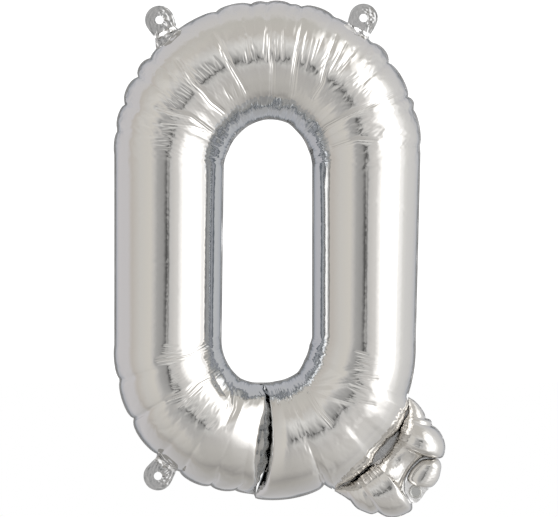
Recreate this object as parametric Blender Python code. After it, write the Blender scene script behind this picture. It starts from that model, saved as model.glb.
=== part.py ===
"""Letter foil balloon: an air-filled letter Q of silver metallised film, 360 mm tall without its tail.

Metres, +Z up. The letter faces -Y and its seam plane is Y = 0. The origin is on the line through the
two top hanging holes, above the middle of the bowl. A front sheet and a back sheet are welded to each
other round the outline, round the counter, down the bottom of the bowl and along the foot of the tail.
Each sheet is drawn as a wall much thicker than real film, because a solid needs one.
"""

import math

import bmesh
import bpy
from mathutils import Vector

# Bowl, to the outer edge of its welded rim
BOWL_HEIGHT = 0.3605
BOWL_WIDTH = 0.2216
BOWL_TOP = 0.0127  # above the hanging line
COUNTER_HEIGHT = 0.1911
COUNTER_WIDTH = 0.0661
COUNTER_TOP = -0.0729
TUBE_HALF_DEPTH_SIDE = 0.0375
TUBE_HALF_DEPTH_END = 0.0395

# Film, rims and the gaps between touching solids
WALL = 0.0009
RIM_WIDTH = 0.0021
RIM_THICK = 0.0007
COUNTER_RIM_WIDTH = 0.0014
GAP = 0.0003
FILM_EDGE = GAP / 2  # each sheet's edge stands this far off the seam plane

# Weld across the bottom of the bowl, in degrees round the bottom end from the +X side
BOWL_WELD_ANGLE = 95.0
BOWL_WELD_WIDTH = 0.0026
BOWL_WELD_REACH = 0.0100  # how far from the weld the steep end of each chamber reaches
BOWL_SAG = 0.16  # share of the depth that the tube loses towards the weld, behind its steep end
BOWL_SAG_REACH = 0.0360  # how far from the weld the tube has its full depth
BOWL_WELD_FLOOR = 0.0020  # how far each sheet stays from the seam plane at the weld
BOWL_WELD_END = 0.0044  # where the weld's strip ends, in from each sheet's edge
FILM_SHAPE = 2.5  # exponent of the round shoulder beside a weld

# Tail: degrees round the bottom end from the +X side, and reach beyond the bowl's outline in metres
TAIL_START, TAIL_END = 20.5, 65.5
TAIL_FILM_START, TAIL_FILM_END = 1.6, 1.0  # how far inside those angles the sheets begin and end
TAIL_WELD_WIDTH = 0.0024
TAIL_HALF_DEPTH = 0.0175
TAIL_OUTLINE = (
    # degrees, reach of the rim's outer edge
    (21.2, 0.0045),
    (24.2, 0.0150),
    (26.6, 0.0265),
    (30.0, 0.0378),
    (34.0, 0.0405),
    (38.4, 0.0470),
    (43.0, 0.0478),
    (48.9, 0.0473),
    (53.4, 0.0438),
    (58.2, 0.0330),
    (61.6, 0.0210),
    (65.0, 0.0062),
)

# Valve pouch, a small lobe on the tail's outer edge, and the flat tab with the inlet below it
POUCH_START, POUCH_END = 33.8, 44.0
VALVE_TAB_END = 47.9
LOBE_GAP = 0.3  # degrees left free on each side where one lobe ends and the next begins
POUCH_HALF_DEPTH = 0.0085
POUCH_WELD_WIDTH = 0.0014
POUCH_CREASE = (
    # degrees, reach of the crease between tail and pouch
    (33.8, 0.0345),
    (36.0, 0.0282),
    (39.0, 0.0262),
    (42.2, 0.0267),
    (45.0, 0.0300),
    (47.9, 0.0395),
)
INLET_RADIUS = 0.0036
INLET_HOLE_RADIUS = 0.0012
INLET_THICK = 0.0008
INLET_ANGLE, INLET_REACH = 45.6, 0.0392

# Hanging tabs
TAB_THICK = 0.0009
TAB_HEAD_RADIUS = 0.0104
TAB_HOLE_RADIUS = 0.0030
TAB_ROOT_HALF_WIDTH = 0.0118
TAB_NECK = 0.0150  # from the head's centre to where the root's half width is taken
TABS = (
    # name, X and Z of the hole, lean of the neck from straight down in degrees, +1 for the top end
    ("tab_top_left", -0.0788, -0.0007, 27.0, 1),
    ("tab_top_right", 0.0694, 0.0007, -23.0, 1),
    ("tab_bottom_left", -0.0799, -0.3320, 145.0, -1),
)

# How finely round shapes are drawn
END_STEPS = 18
SIDE_STEPS = 5
ACROSS_STEPS = 10
TAIL_STEPS = 7
TAIL_ACROSS = 8
POUCH_STEPS = 8
POUCH_ACROSS = 6
TAB_STEPS = 48
INLET_STEPS = 24

BOWL_RADIUS = BOWL_WIDTH / 2
COUNTER_RADIUS = COUNTER_WIDTH / 2
TOP_CENTRE = BOWL_TOP - BOWL_RADIUS
BOTTOM_CENTRE = BOWL_TOP - BOWL_HEIGHT + BOWL_RADIUS
COUNTER_TOP_CENTRE = COUNTER_TOP - COUNTER_RADIUS
COUNTER_BOTTOM_CENTRE = COUNTER_TOP - COUNTER_HEIGHT + COUNTER_RADIUS
FILM_RADIUS = BOWL_RADIUS - RIM_WIDTH - GAP
COUNTER_FILM_RADIUS = COUNTER_RADIUS + COUNTER_RIM_WIDTH + GAP


def clear_scene():
    for old in list(bpy.data.objects):
        bpy.data.objects.remove(old)


def finish(name, colour, roughness, metallic):
    """A plain Principled material."""
    material = bpy.data.materials.new(name)
    material.use_nodes = True
    shader = material.node_tree.nodes["Principled BSDF"]
    shader.inputs["Base Color"].default_value = (*colour, 1.0)
    shader.inputs["Roughness"].default_value = roughness
    shader.inputs["Metallic"].default_value = metallic
    return material


def add_object(name, bm, material):
    """Turns the bmesh into an object with its faces pointing out and its round faces shaded smooth."""
    bmesh.ops.recalc_face_normals(bm, faces=bm.faces)
    if bm.calc_volume(signed=True) < 0:
        bmesh.ops.reverse_faces(bm, faces=bm.faces)
    mesh = bpy.data.meshes.new(name)
    bm.to_mesh(mesh)
    bm.free()
    mesh.materials.append(material)
    mesh.shade_smooth()
    mesh.set_sharp_from_angle(angle=math.radians(40))
    made = bpy.data.objects.new(name, mesh)
    bpy.context.scene.collection.objects.link(made)
    return made


def on_end(centre, radius, degrees):
    """A point (X, Z) on a round end, its angle measured clockwise from the +X side."""
    angle = math.radians(degrees)
    return Vector((radius * math.cos(angle), centre - radius * math.sin(angle)))


def shoulder(share):
    """Round rise from 0 at a weld to 1 at full depth."""
    near = 1 - min(max(share, 0.0), 1.0)
    return (1 - near**FILM_SHAPE) ** (1 / FILM_SHAPE)


def along(table, degrees):
    """The value that a table of (degrees, value) rows has at this angle, on a smooth curve through them."""
    if degrees <= table[0][0]:
        return table[0][1]
    for i in range(len(table) - 1):
        low, high = table[i], table[i + 1]
        if degrees > high[0]:
            continue
        before, after = table[max(i - 1, 0)], table[min(i + 2, len(table) - 1)]
        span = high[0] - low[0]
        slope_low = (high[1] - before[1]) / (high[0] - before[0]) * span
        slope_high = (after[1] - low[1]) / (after[0] - low[0]) * span
        t = (degrees - low[0]) / span
        rise = (3 - 2 * t) * t**2
        bends = slope_low * t * (1 - t) ** 2 - slope_high * t**2 * (1 - t)
        return low[1] + (high[1] - low[1]) * rise + bends
    return table[-1][1]


def film_row(outer, inner, depth, inset, side, steps):
    """Points across one sheet, from its outer seam to its inner seam, bulging to depth between them."""
    across = (inner - outer).normalized()
    start, end = outer + across * inset, inner - across * inset
    row = []
    for i in range(steps + 1):
        angle = math.pi * i / steps
        place = start.lerp(end, (1 - math.cos(angle)) / 2)
        bulge = FILM_EDGE + max(depth - inset, 0.0) * math.sin(angle)
        row.append(Vector((place.x, side * bulge, place.y)))
    return row


def film_shell(name, outside, inside, closed, material):
    """One sheet as a closed wall: rows of outside and inside points, joined along every free edge."""
    bm = bmesh.new()
    skins = [[[bm.verts.new(p) for p in row] for row in rows] for rows in (outside, inside)]
    count = len(outside)
    spans = count if closed else count - 1
    for rows in skins:
        for i in range(spans):
            low, high = rows[i], rows[(i + 1) % count]
            for j in range(len(low) - 1):
                bm.faces.new((low[j], low[j + 1], high[j + 1], high[j]))
    for i in range(spans):
        for edge in (0, -1):
            a, b = skins[0][i][edge], skins[0][(i + 1) % count][edge]
            c, d = skins[1][(i + 1) % count][edge], skins[1][i][edge]
            bm.faces.new((a, b, c, d))
    if not closed:
        for end in (0, -1):
            outer_row, inner_row = skins[0][end], skins[1][end]
            for j in range(len(outer_row) - 1):
                bm.faces.new((outer_row[j], outer_row[j + 1], inner_row[j + 1], inner_row[j]))
    return add_object(name, bm, material)


def band(name, inner, outer, thick, closed, material):
    """A flat strip in the seam plane between two lines of (X, Z) points."""
    bm = bmesh.new()
    corners = []
    for a, b in zip(inner, outer):
        ring = ((a, -1), (b, -1), (b, 1), (a, 1))
        corners.append([bm.verts.new((p.x, s * thick / 2, p.y)) for p, s in ring])
    count = len(corners)
    for i in range(count if closed else count - 1):
        low, high = corners[i], corners[(i + 1) % count]
        for j in range(4):
            k = (j + 1) % 4
            bm.faces.new((low[j], low[k], high[k], high[j]))
    if not closed:
        bm.faces.new(corners[0])
        bm.faces.new(corners[-1])
    return add_object(name, bm, material)


def spread(low, high, steps):
    return [low + (high - low) * i / steps for i in range(steps + 1)]


def beside(angle, offsets):
    """Angles on both sides of one angle."""
    return [angle - o for o in reversed(offsets)] + [angle] + [angle + o for o in offsets]


# Bowl

WELD_OFFSETS = (0.8, 2.4, 4.8, 8.0, 14.0, 22.0)  # degrees from the bowl's weld to its shoulders' rows


def bowl_stations():
    """Stations round the bowl, as (top or bottom or side, degrees or share of the side)."""
    step = 180 / END_STEPS
    near_weld = beside(BOWL_WELD_ANGLE, WELD_OFFSETS)
    bottom = [i * step for i in range(END_STEPS + 1)]
    clear = WELD_OFFSETS[-1] + step / 3
    bottom = sorted([a for a in bottom if abs(a - BOWL_WELD_ANGLE) > clear] + near_weld)
    stations = [("bottom", a) for a in bottom]
    stations += [("left", i / SIDE_STEPS) for i in range(1, SIDE_STEPS)]
    stations += [("top", 180 + i * step) for i in range(END_STEPS + 1)]
    stations += [("right", i / SIDE_STEPS) for i in range(1, SIDE_STEPS)]
    return stations


def bowl_edges(station, outer_radius, inner_radius):
    """The outer and the counter edge at one station."""
    end, value = station
    if end in ("left", "right"):
        first, last = (180, 180) if end == "left" else (360, 360)
        low = ("bottom", first) if end == "left" else ("top", last)
        high = ("top", last) if end == "left" else ("bottom", first)
        low_edges = bowl_edges(low, outer_radius, inner_radius)
        high_edges = bowl_edges(high, outer_radius, inner_radius)
        return [a.lerp(b, value) for a, b in zip(low_edges, high_edges)]
    outer_centre = TOP_CENTRE if end == "top" else BOTTOM_CENTRE
    inner_centre = COUNTER_TOP_CENTRE if end == "top" else COUNTER_BOTTOM_CENTRE
    return [
        on_end(outer_centre, outer_radius, value),
        on_end(inner_centre, inner_radius, value),
    ]


def bowl_depth(station):
    """Half the tube's depth: a little more at the round ends, and nearly none at the weld."""
    end, value = station
    if end in ("left", "right"):
        return TUBE_HALF_DEPTH_SIDE
    depth = TUBE_HALF_DEPTH_SIDE
    depth += (TUBE_HALF_DEPTH_END - TUBE_HALF_DEPTH_SIDE) * abs(math.sin(math.radians(value)))
    if end == "bottom":
        middle_radius = (FILM_RADIUS + COUNTER_FILM_RADIUS) / 2
        away = middle_radius * math.radians(abs(value - BOWL_WELD_ANGLE))
        sag = BOWL_SAG * (1 - math.sin(math.pi / 2 * min(away / BOWL_SAG_REACH, 1.0)))
        rise = shoulder(away / BOWL_WELD_REACH) * (1 - sag)
        depth = BOWL_WELD_FLOOR + (depth - BOWL_WELD_FLOOR) * rise
    return depth


def make_bowl(film, rim):
    stations = bowl_stations()
    for name, side in (("bowl_front_film", -1), ("bowl_back_film", 1)):
        skins = []
        for inset in (0.0, WALL):
            rows = []
            for station in stations:
                outer, inner = bowl_edges(station, FILM_RADIUS, COUNTER_FILM_RADIUS)
                depth = bowl_depth(station)
                rows.append(film_row(outer, inner, depth, inset, side, ACROSS_STEPS))
            skins.append(rows)
        film_shell(name, skins[0], skins[1], True, film)

    outer_lines = [bowl_edges(s, FILM_RADIUS + GAP, COUNTER_RADIUS) for s in stations]
    rim_lines = [bowl_edges(s, BOWL_RADIUS, COUNTER_RADIUS + COUNTER_RIM_WIDTH) for s in stations]
    band(
        "counter_seam",
        [line[1] for line in outer_lines],
        [line[1] for line in rim_lines],
        RIM_THICK,
        True,
        rim,
    )
    # The bowl's own rim stops where the tail's weld takes over.
    free = [s for s in stations if s[0] != "bottom" or not TAIL_START - 1 < s[1] < TAIL_END + 1]
    start = free.index(next(s for s in free if s[0] == "bottom" and s[1] > TAIL_END))
    free = free[start:] + free[:start]
    free = [("bottom", TAIL_END + 0.4), *free, ("bottom", TAIL_START - 0.4)]
    band(
        "outer_seam",
        [bowl_edges(s, FILM_RADIUS + GAP, COUNTER_RADIUS)[0] for s in free],
        [bowl_edges(s, BOWL_RADIUS, COUNTER_RADIUS)[0] for s in free],
        RIM_THICK,
        False,
        rim,
    )

    outer, inner = bowl_edges(("bottom", BOWL_WELD_ANGLE), FILM_RADIUS, COUNTER_FILM_RADIUS)
    run = (inner - outer).normalized()
    across = Vector((-run.y, run.x)) * BOWL_WELD_WIDTH / 2
    ends = (outer + run * BOWL_WELD_END, inner - run * BOWL_WELD_END)
    band("bowl_weld", [p - across for p in ends], [p + across for p in ends], RIM_THICK, False, rim)


# Tail and valve


def tail_point(degrees, reach):
    return on_end(BOTTOM_CENTRE, BOWL_RADIUS + reach, degrees)


def beyond(table, degrees, distance):
    """The point on a table's curve at this angle, moved square to the curve, outwards if distance > 0."""
    place = tail_point(degrees, along(table, degrees))
    before = tail_point(degrees - 0.2, along(table, degrees - 0.2))
    after = tail_point(degrees + 0.2, along(table, degrees + 0.2))
    run = (after - before).normalized()
    return place + Vector((-run.y, run.x)) * distance


def tail_angles():
    """Angles along the tail: above the pouch, along its crease, and below it."""
    return [
        *spread(TAIL_START + TAIL_FILM_START, POUCH_START - LOBE_GAP, TAIL_STEPS),
        *spread(POUCH_START + LOBE_GAP, VALVE_TAB_END - LOBE_GAP, POUCH_STEPS),
        *spread(VALVE_TAB_END + LOBE_GAP, TAIL_END - TAIL_FILM_END, TAIL_STEPS),
    ]


def tail_outer(degrees):
    """The outer edge of the tail's sheets: beside the outline's rim, or beside the pouch's crease."""
    if POUCH_START < degrees < VALVE_TAB_END:
        return beyond(POUCH_CREASE, degrees, -POUCH_WELD_WIDTH / 2 - GAP)
    return beyond(TAIL_OUTLINE, degrees, -RIM_WIDTH - GAP)


def tail_inner(degrees):
    return tail_point(degrees, TAIL_WELD_WIDTH + GAP - RIM_WIDTH)


def pouch_outer(degrees):
    return beyond(TAIL_OUTLINE, degrees, -RIM_WIDTH - GAP)


def pouch_inner(degrees):
    return beyond(POUCH_CREASE, degrees, POUCH_WELD_WIDTH / 2 + GAP)


def lobe_skins(angles, outer_edge, inner_edge, half_depth, side, across_steps):
    """Outside and inside rows of a lobe between two edges, closing to nothing at both ends."""
    first, last = angles[0], angles[-1]
    skins = []
    for inset in (0.0, WALL):
        trim = math.degrees(inset / BOWL_RADIUS) if inset else 0.0
        rows = []
        for angle in angles:
            share = (angle - first) / (last - first)
            trimmed = angle + trim * (1 - 2 * share)
            depth = inset + (half_depth - inset) * shoulder(2 * min(share, 1 - share))
            outer, inner = outer_edge(trimmed), inner_edge(trimmed)
            rows.append(film_row(outer, inner, depth, inset, side, across_steps))
        skins.append(rows)
    return skins


def make_tail(film, rim):
    angles = tail_angles()
    for name, side in (("tail_front_film", -1), ("tail_back_film", 1)):
        skins = lobe_skins(angles, tail_outer, tail_inner, TAIL_HALF_DEPTH, side, TAIL_ACROSS)
        film_shell(name, skins[0], skins[1], False, film)

    weld_angles = [TAIL_START, *angles, TAIL_END]
    band(
        "tail_weld",
        [on_end(BOTTOM_CENTRE, FILM_RADIUS + GAP, a) for a in weld_angles],
        [tail_point(a, TAIL_WELD_WIDTH - RIM_WIDTH) for a in weld_angles],
        RIM_THICK,
        False,
        rim,
    )
    foot = TAIL_WELD_WIDTH - RIM_WIDTH + GAP
    inner_feet = [tail_point(TAIL_START + 1.3, foot), tail_point(TAIL_END - 0.8, foot)]
    outer_feet = [tail_point(TAIL_START + 0.3, foot), tail_point(TAIL_END, foot)]
    inner_line = [beyond(TAIL_OUTLINE, a, -RIM_WIDTH) for a in angles]
    outer_line = [beyond(TAIL_OUTLINE, a, 0.0) for a in angles]
    band(
        "tail_seam",
        [inner_feet[0], *inner_line, inner_feet[1]],
        [outer_feet[0], *outer_line, outer_feet[1]],
        RIM_THICK,
        False,
        rim,
    )


def make_valve(film, rim):
    angles = [a for a in tail_angles() if POUCH_START < a < VALVE_TAB_END]
    pouch_angles = [a for a in angles if a < POUCH_END]
    tab_angles = [pouch_angles[-1] + 0.15, *angles[len(pouch_angles):]]
    for name, side in (("valve_pouch_front_film", -1), ("valve_pouch_back_film", 1)):
        skins = lobe_skins(
            pouch_angles, pouch_outer, pouch_inner, POUCH_HALF_DEPTH, side, POUCH_ACROSS
        )
        film_shell(name, skins[0], skins[1], False, film)

    half_weld = POUCH_WELD_WIDTH / 2
    band(
        "valve_weld",
        [beyond(POUCH_CREASE, a, -half_weld) for a in angles],
        [beyond(POUCH_CREASE, a, half_weld) for a in angles],
        RIM_THICK,
        False,
        rim,
    )
    band(
        "valve_tab",
        [pouch_inner(a) for a in tab_angles],
        [pouch_outer(a) for a in tab_angles],
        TAB_THICK,
        False,
        film,
    )
    place = tail_point(INLET_ANGLE, INLET_REACH)
    circle = [2 * math.pi * i / INLET_STEPS for i in range(INLET_STEPS)]
    turned = [Vector((math.cos(a), math.sin(a))) for a in circle]
    inlet = band(
        "valve_inlet",
        [place + t * INLET_HOLE_RADIUS for t in turned],
        [place + t * INLET_RADIUS for t in turned],
        INLET_THICK,
        True,
        rim,
    )
    inlet.location.y = -(TAB_THICK + INLET_THICK) / 2 - GAP


# Hanging tabs


def to_circle(place, direction, centre, radius):
    """Distance from a place to a circle round (0, centre), along a direction that meets it."""
    back = place - Vector((0.0, centre))
    b = back.dot(direction)
    c = back.dot(back) - radius**2
    inside = b * b - c
    return -b - math.sqrt(inside) if inside > 0 else math.inf


def tab_reach(place, neck, turn, centre):
    """How far the tab reaches from its hole's centre, at this turn from the neck's direction."""
    if abs(turn) >= 90:
        return TAB_HEAD_RADIUS
    angle = math.radians(turn)
    spread_out = (TAB_ROOT_HALF_WIDTH - TAB_HEAD_RADIUS) / TAB_NECK
    to_side = TAB_HEAD_RADIUS / (abs(math.sin(angle)) - spread_out * math.cos(angle) or math.inf)
    to_side = to_side if to_side > 0 else math.inf
    direction = Vector(
        (
            neck.x * math.cos(angle) - neck.y * math.sin(angle),
            neck.x * math.sin(angle) + neck.y * math.cos(angle),
        )
    )
    return min(to_side, to_circle(place, direction, centre, BOWL_RADIUS + GAP), 2 * TAB_NECK)


def make_tab(name, x, z, lean, top, film):
    place = Vector((x, z))
    neck = Vector((math.sin(math.radians(lean)), -math.cos(math.radians(lean))))
    centre = TOP_CENTRE if top > 0 else BOTTOM_CENTRE
    inner, outer = [], []
    for i in range(TAB_STEPS):
        turn = -180 + 360 * i / TAB_STEPS
        angle = math.radians(turn)
        direction = Vector(
            (
                neck.x * math.cos(angle) - neck.y * math.sin(angle),
                neck.x * math.sin(angle) + neck.y * math.cos(angle),
            )
        )
        inner.append(place + direction * TAB_HOLE_RADIUS)
        outer.append(place + direction * tab_reach(place, neck, turn, centre))
    band(name, inner, outer, TAB_THICK, True, film)


def main():
    clear_scene()
    film = finish("metallised_film", (0.78, 0.77, 0.75), 0.12, 1.0)
    rim = finish("welded_film", (0.70, 0.70, 0.70), 0.25, 1.0)
    make_bowl(film, rim)
    make_tail(film, rim)
    make_valve(film, rim)
    for row in TABS:
        make_tab(*row, film)


main()
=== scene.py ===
# %% [markdown]
# # A letter foil balloon
# The real thing is two flat sheets of metallised nylon film, cut to the outline of a Q and heat-sealed to
# each other along the outer edge, along the edge of the counter and across the foot of the tail. Blown up
# with air, the flat sheets have more edge than the round tube needs, and the spare length goes into folds.
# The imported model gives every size, so it is loaded first and nothing below moves it.

# %% Load the frame
import math

import bmesh
import bpy
import numpy as np
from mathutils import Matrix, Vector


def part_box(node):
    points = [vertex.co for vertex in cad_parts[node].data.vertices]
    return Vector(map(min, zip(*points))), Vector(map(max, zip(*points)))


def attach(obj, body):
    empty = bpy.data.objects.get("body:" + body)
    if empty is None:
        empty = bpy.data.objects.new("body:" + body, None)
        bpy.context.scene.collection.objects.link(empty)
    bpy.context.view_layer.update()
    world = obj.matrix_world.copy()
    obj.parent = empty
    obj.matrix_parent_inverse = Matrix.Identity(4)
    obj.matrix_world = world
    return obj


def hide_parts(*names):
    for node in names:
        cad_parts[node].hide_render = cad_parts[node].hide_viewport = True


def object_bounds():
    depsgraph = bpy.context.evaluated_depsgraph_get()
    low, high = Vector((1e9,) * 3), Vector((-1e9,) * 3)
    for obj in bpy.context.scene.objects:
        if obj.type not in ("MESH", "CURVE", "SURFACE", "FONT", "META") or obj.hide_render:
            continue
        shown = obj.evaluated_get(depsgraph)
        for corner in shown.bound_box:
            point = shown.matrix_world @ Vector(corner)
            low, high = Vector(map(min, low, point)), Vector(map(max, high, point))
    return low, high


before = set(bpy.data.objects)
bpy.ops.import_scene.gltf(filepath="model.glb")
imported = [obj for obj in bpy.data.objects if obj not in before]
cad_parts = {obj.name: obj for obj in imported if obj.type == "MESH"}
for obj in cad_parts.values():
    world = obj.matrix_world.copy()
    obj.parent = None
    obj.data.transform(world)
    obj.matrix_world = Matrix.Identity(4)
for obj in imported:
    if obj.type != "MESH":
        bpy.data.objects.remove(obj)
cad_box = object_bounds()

MM = 0.001
print("Frame:", len(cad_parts), "nodes, box", [list(corner) for corner in cad_box])

# %% [markdown]
# ## Places in the picture
# The picture is taken square to the letter from far away, so one pixel is the same length all over it.
# A fold is easiest to place where the picture shows it: its pixel is turned into X and Z in metres here.

# %% Picture to metres
PICTURE = (558, 517)
PIXEL = 0.7265 * MM
AXIS_COLUMN = 268  # the bowl's middle
HANGING_ROW = 19  # the line through the two top holes


def at_pixel(column, row):
    """X and Z of a place in the picture."""
    return np.array([(column - AXIS_COLUMN) * PIXEL, (HANGING_ROW - row) * PIXEL])


# %% [markdown]
# ## Camera
# A long lens keeps both tubes the same width and shows no wall of the counter, as in the picture.

# %% Camera
VIEW_DISTANCE = 1.6
VIEW_WIDTH = PICTURE[0] * PIXEL
view_x, view_z = at_pixel(PICTURE[0] / 2, PICTURE[1] / 2)
bpy.ops.object.camera_add(location=(view_x, -VIEW_DISTANCE, view_z), rotation=(math.pi / 2, 0, 0))
camera = bpy.context.object
camera.name = "front_view"
camera.data.sensor_width = 36
camera.data.lens = camera.data.sensor_width * VIEW_DISTANCE / VIEW_WIDTH
camera.data.clip_end = 20
bpy.context.scene.camera = camera
bpy.context.scene.view_settings.view_transform = "Standard"
print("Lens of", round(camera.data.lens), "mm at", VIEW_DISTANCE, "m")

# %% [markdown]
# ## Helpers for nodes
# Every material and the studio are node trees. One function adds a node with its settings and its links,
# and one turns a hex colour as a paint chart gives it into the linear values that a shader works with.


# %% Node helpers
def to_linear(hex_colour):
    values = [int(hex_colour[i : i + 2], 16) / 255 for i in (1, 3, 5)]
    return tuple(v / 12.92 if v <= 0.04045 else ((v + 0.055) / 1.055) ** 2.4 for v in values)


def add_node(tree, kind, inputs=None, **settings):
    """A node with its settings; an input takes a value or another node's socket."""
    node = tree.nodes.new(kind)
    for name, value in settings.items():
        setattr(node, name, value)
    for name, value in (inputs or {}).items():
        if isinstance(value, bpy.types.NodeSocket):
            tree.links.new(value, node.inputs[name])
        else:
            node.inputs[name].default_value = value
    return node


def set_stops(ramp_node, stops):
    """Colour stops as (position, grey) or (position, red, green, blue)."""
    ramp = ramp_node.color_ramp
    while len(ramp.elements) > 1:
        ramp.elements.remove(ramp.elements[-1])
    for i, (position, *colour) in enumerate(stops):
        stop = ramp.elements[0] if i == 0 else ramp.elements.new(position)
        stop.position = position
        stop.color = (*(colour if len(colour) == 3 else colour * 3), 1.0)


# %% [markdown]
# ## Studio
# A mirror shows only what stands round it, so the room makes the look. Foil is shot in a pale tent with one
# big soft box at the right and a narrow dark gap where the lens looks in. The tables give the brightness of
# the tent by direction: round the side, from the lens at 0 to the backdrop at 180 degrees, and over the top.

# %% Studio tables
AROUND = (
    # degrees to the right of the lens, linear red, green and blue
    (-180, 0.19, 0.21, 0.23),
    (-164, 0.22, 0.24, 0.26),
    (-150, 0.52, 0.53, 0.57),
    (-132, 0.64, 0.63, 0.65),
    (-95, 0.64, 0.63, 0.65),
    (-82, 0.58, 0.55, 0.52),
    (-60, 0.66, 0.65, 0.63),
    (-36, 0.71, 0.69, 0.65),
    (-29, 0.62, 0.61, 0.60),
    (-22, 0.45, 0.45, 0.45),
    (-9, 0.35, 0.35, 0.35),
    (-3, 0.09, 0.09, 0.09),
    (1, 0.11, 0.11, 0.11),
    (5, 0.62, 0.62, 0.62),
    (12, 0.68, 0.67, 0.66),
    (24, 0.80, 0.79, 0.78),
    (85, 0.90, 0.90, 0.90),
    (93, 0.82, 0.82, 0.81),
    (103, 0.74, 0.74, 0.74),
    (129, 0.68, 0.68, 0.68),
    (150, 0.56, 0.57, 0.60),
    (164, 0.22, 0.24, 0.26),
    (180, 0.19, 0.21, 0.23),
)
OVER = (
    # degrees above the lens, linear red, green and blue
    (-180, 0.19, 0.21, 0.23),
    (-164, 0.22, 0.24, 0.26),
    (-148, 0.60, 0.60, 0.62),
    (-90, 0.45, 0.44, 0.42),
    (-76, 0.37, 0.36, 0.35),
    (-60, 0.50, 0.49, 0.47),
    (-38, 0.55, 0.54, 0.52),
    (-20, 0.55, 0.54, 0.53),
    (-10, 0.64, 0.64, 0.63),
    (0, 0.38, 0.38, 0.38),
    (15, 0.68, 0.68, 0.67),
    (26, 0.82, 0.82, 0.81),
    (45, 0.60, 0.58, 0.55),
    (80, 0.58, 0.57, 0.54),
    (95, 0.66, 0.65, 0.64),
    (148, 0.62, 0.62, 0.65),
    (164, 0.22, 0.24, 0.26),
    (180, 0.19, 0.21, 0.23),
)
SOFT_BOX_AROUND = ((22, 0.0), (32, 0.5), (42, 1.0), (66, 1.0), (78, 0.25), (92, 0.0))  # degrees, level
SOFT_BOX_HEIGHT = ((-28, 0.0), (-12, 1.0), (40, 1.0), (60, 0.0))  # degrees above the horizon, level
TENT_SEEN = 1.2  # what the lens sees behind the balloon: burnt out to white
print(len(AROUND), "directions round the side and", len(OVER), "over the top")

# %% [markdown]
# ## Angles of the studio
# The tables go by angle, and a world shader only gets the direction in which a ray leaves the foil. Math
# nodes turn it into the angle round the side, the one over the top and the height above the horizon.

# %% Studio angles
world = bpy.data.worlds.new("light_tent")
bpy.context.scene.world = world
world.use_nodes = True
sky = world.node_tree
sky.nodes.clear()
direction = add_node(sky, "ShaderNodeTexCoord")
parts = add_node(sky, "ShaderNodeSeparateXYZ", inputs={0: direction.outputs["Generated"]})
sky_values = dict(zip(("right", "away", "up"), parts.outputs))
for name, operation, *terms in (
    # the result's name, the operation, and earlier results or numbers
    ("to_lens", "MULTIPLY", "away", -1.0),
    ("side_angle", "ARCTAN2", "right", "to_lens"),
    ("turn_right", "DIVIDE", "side_angle", 2 * math.pi),
    ("rise_angle", "ARCTAN2", "up", "to_lens"),
    ("turn_up", "DIVIDE", "rise_angle", 2 * math.pi),
    ("elevation", "ARCSINE", "up"),
    ("height", "DIVIDE", "elevation", math.pi),
    ("sideways", "MULTIPLY", "right", "right"),
    ("upright", "MULTIPLY", "up", "up"),
    ("off_axis", "ADD", "sideways", "upright"),
    ("across_lens", "ADD", "off_axis", 0.00001),
    ("over_share", "DIVIDE", "upright", "across_lens"),
):
    inputs = {i: sky_values.get(term, term) for i, term in enumerate(terms)}
    sky_values[name] = add_node(sky, "ShaderNodeMath", operation=operation, inputs=inputs).outputs[0]
print("Studio angles:", ", ".join(sky_values))

# %% [markdown]
# ## Light of the studio
# A colour ramp holds each table. The two tent tables are mixed by how far up or sideways a ray goes, the
# soft box is added on top, and the lens itself sees only white, as on a burnt-out backdrop.

# %% Studio
for name, angle, span, stops in (
    ("round_side", "turn_right", 360, AROUND),
    ("over_top", "turn_up", 360, OVER),
    ("box_across", "turn_right", 360, SOFT_BOX_AROUND),
    ("box_up", "height", 180, SOFT_BOX_HEIGHT),
):
    shifted = add_node(sky, "ShaderNodeMath", operation="ADD", inputs={0: sky_values[angle], 1: 0.5})
    ramp = add_node(sky, "ShaderNodeValToRGB", inputs={0: shifted.outputs[0]})
    set_stops(ramp, [(degrees / span + 0.5, *colour) for degrees, *colour in stops])
    sky_values[name] = ramp.outputs[0]
tent = add_node(
    sky,
    "ShaderNodeMix",
    data_type="RGBA",
    inputs={0: sky_values["over_share"], 6: sky_values["round_side"], 7: sky_values["over_top"]},
)
box = add_node(
    sky,
    "ShaderNodeMath",
    operation="MULTIPLY",
    inputs={0: sky_values["box_across"], 1: sky_values["box_up"]},
)
lit = add_node(
    sky,
    "ShaderNodeMix",
    data_type="RGBA",
    blend_type="ADD",
    clamp_factor=False,
    inputs={0: box.outputs[0], 6: tent.outputs[2], 7: (1, 1, 1, 1)},
)
seen = add_node(sky, "ShaderNodeLightPath")
shown = add_node(
    sky,
    "ShaderNodeMix",
    data_type="RGBA",
    inputs={0: seen.outputs["Is Camera Ray"], 6: lit.outputs[2], 7: (TENT_SEEN, TENT_SEEN, TENT_SEEN, 1)},
)
background = add_node(sky, "ShaderNodeBackground", inputs={0: shown.outputs[2]})
add_node(sky, "ShaderNodeOutputWorld", inputs={0: background.outputs[0]})
print("Light tent with", len(sky.nodes), "nodes")

# %% [markdown]
# ## Floor
# The balloon hangs over a plain white table top that is lit to the same white as the tent. It sits below the
# tail, and the foil doesn't reflect it, because the tent's own tables already hold what lies below.

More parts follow.
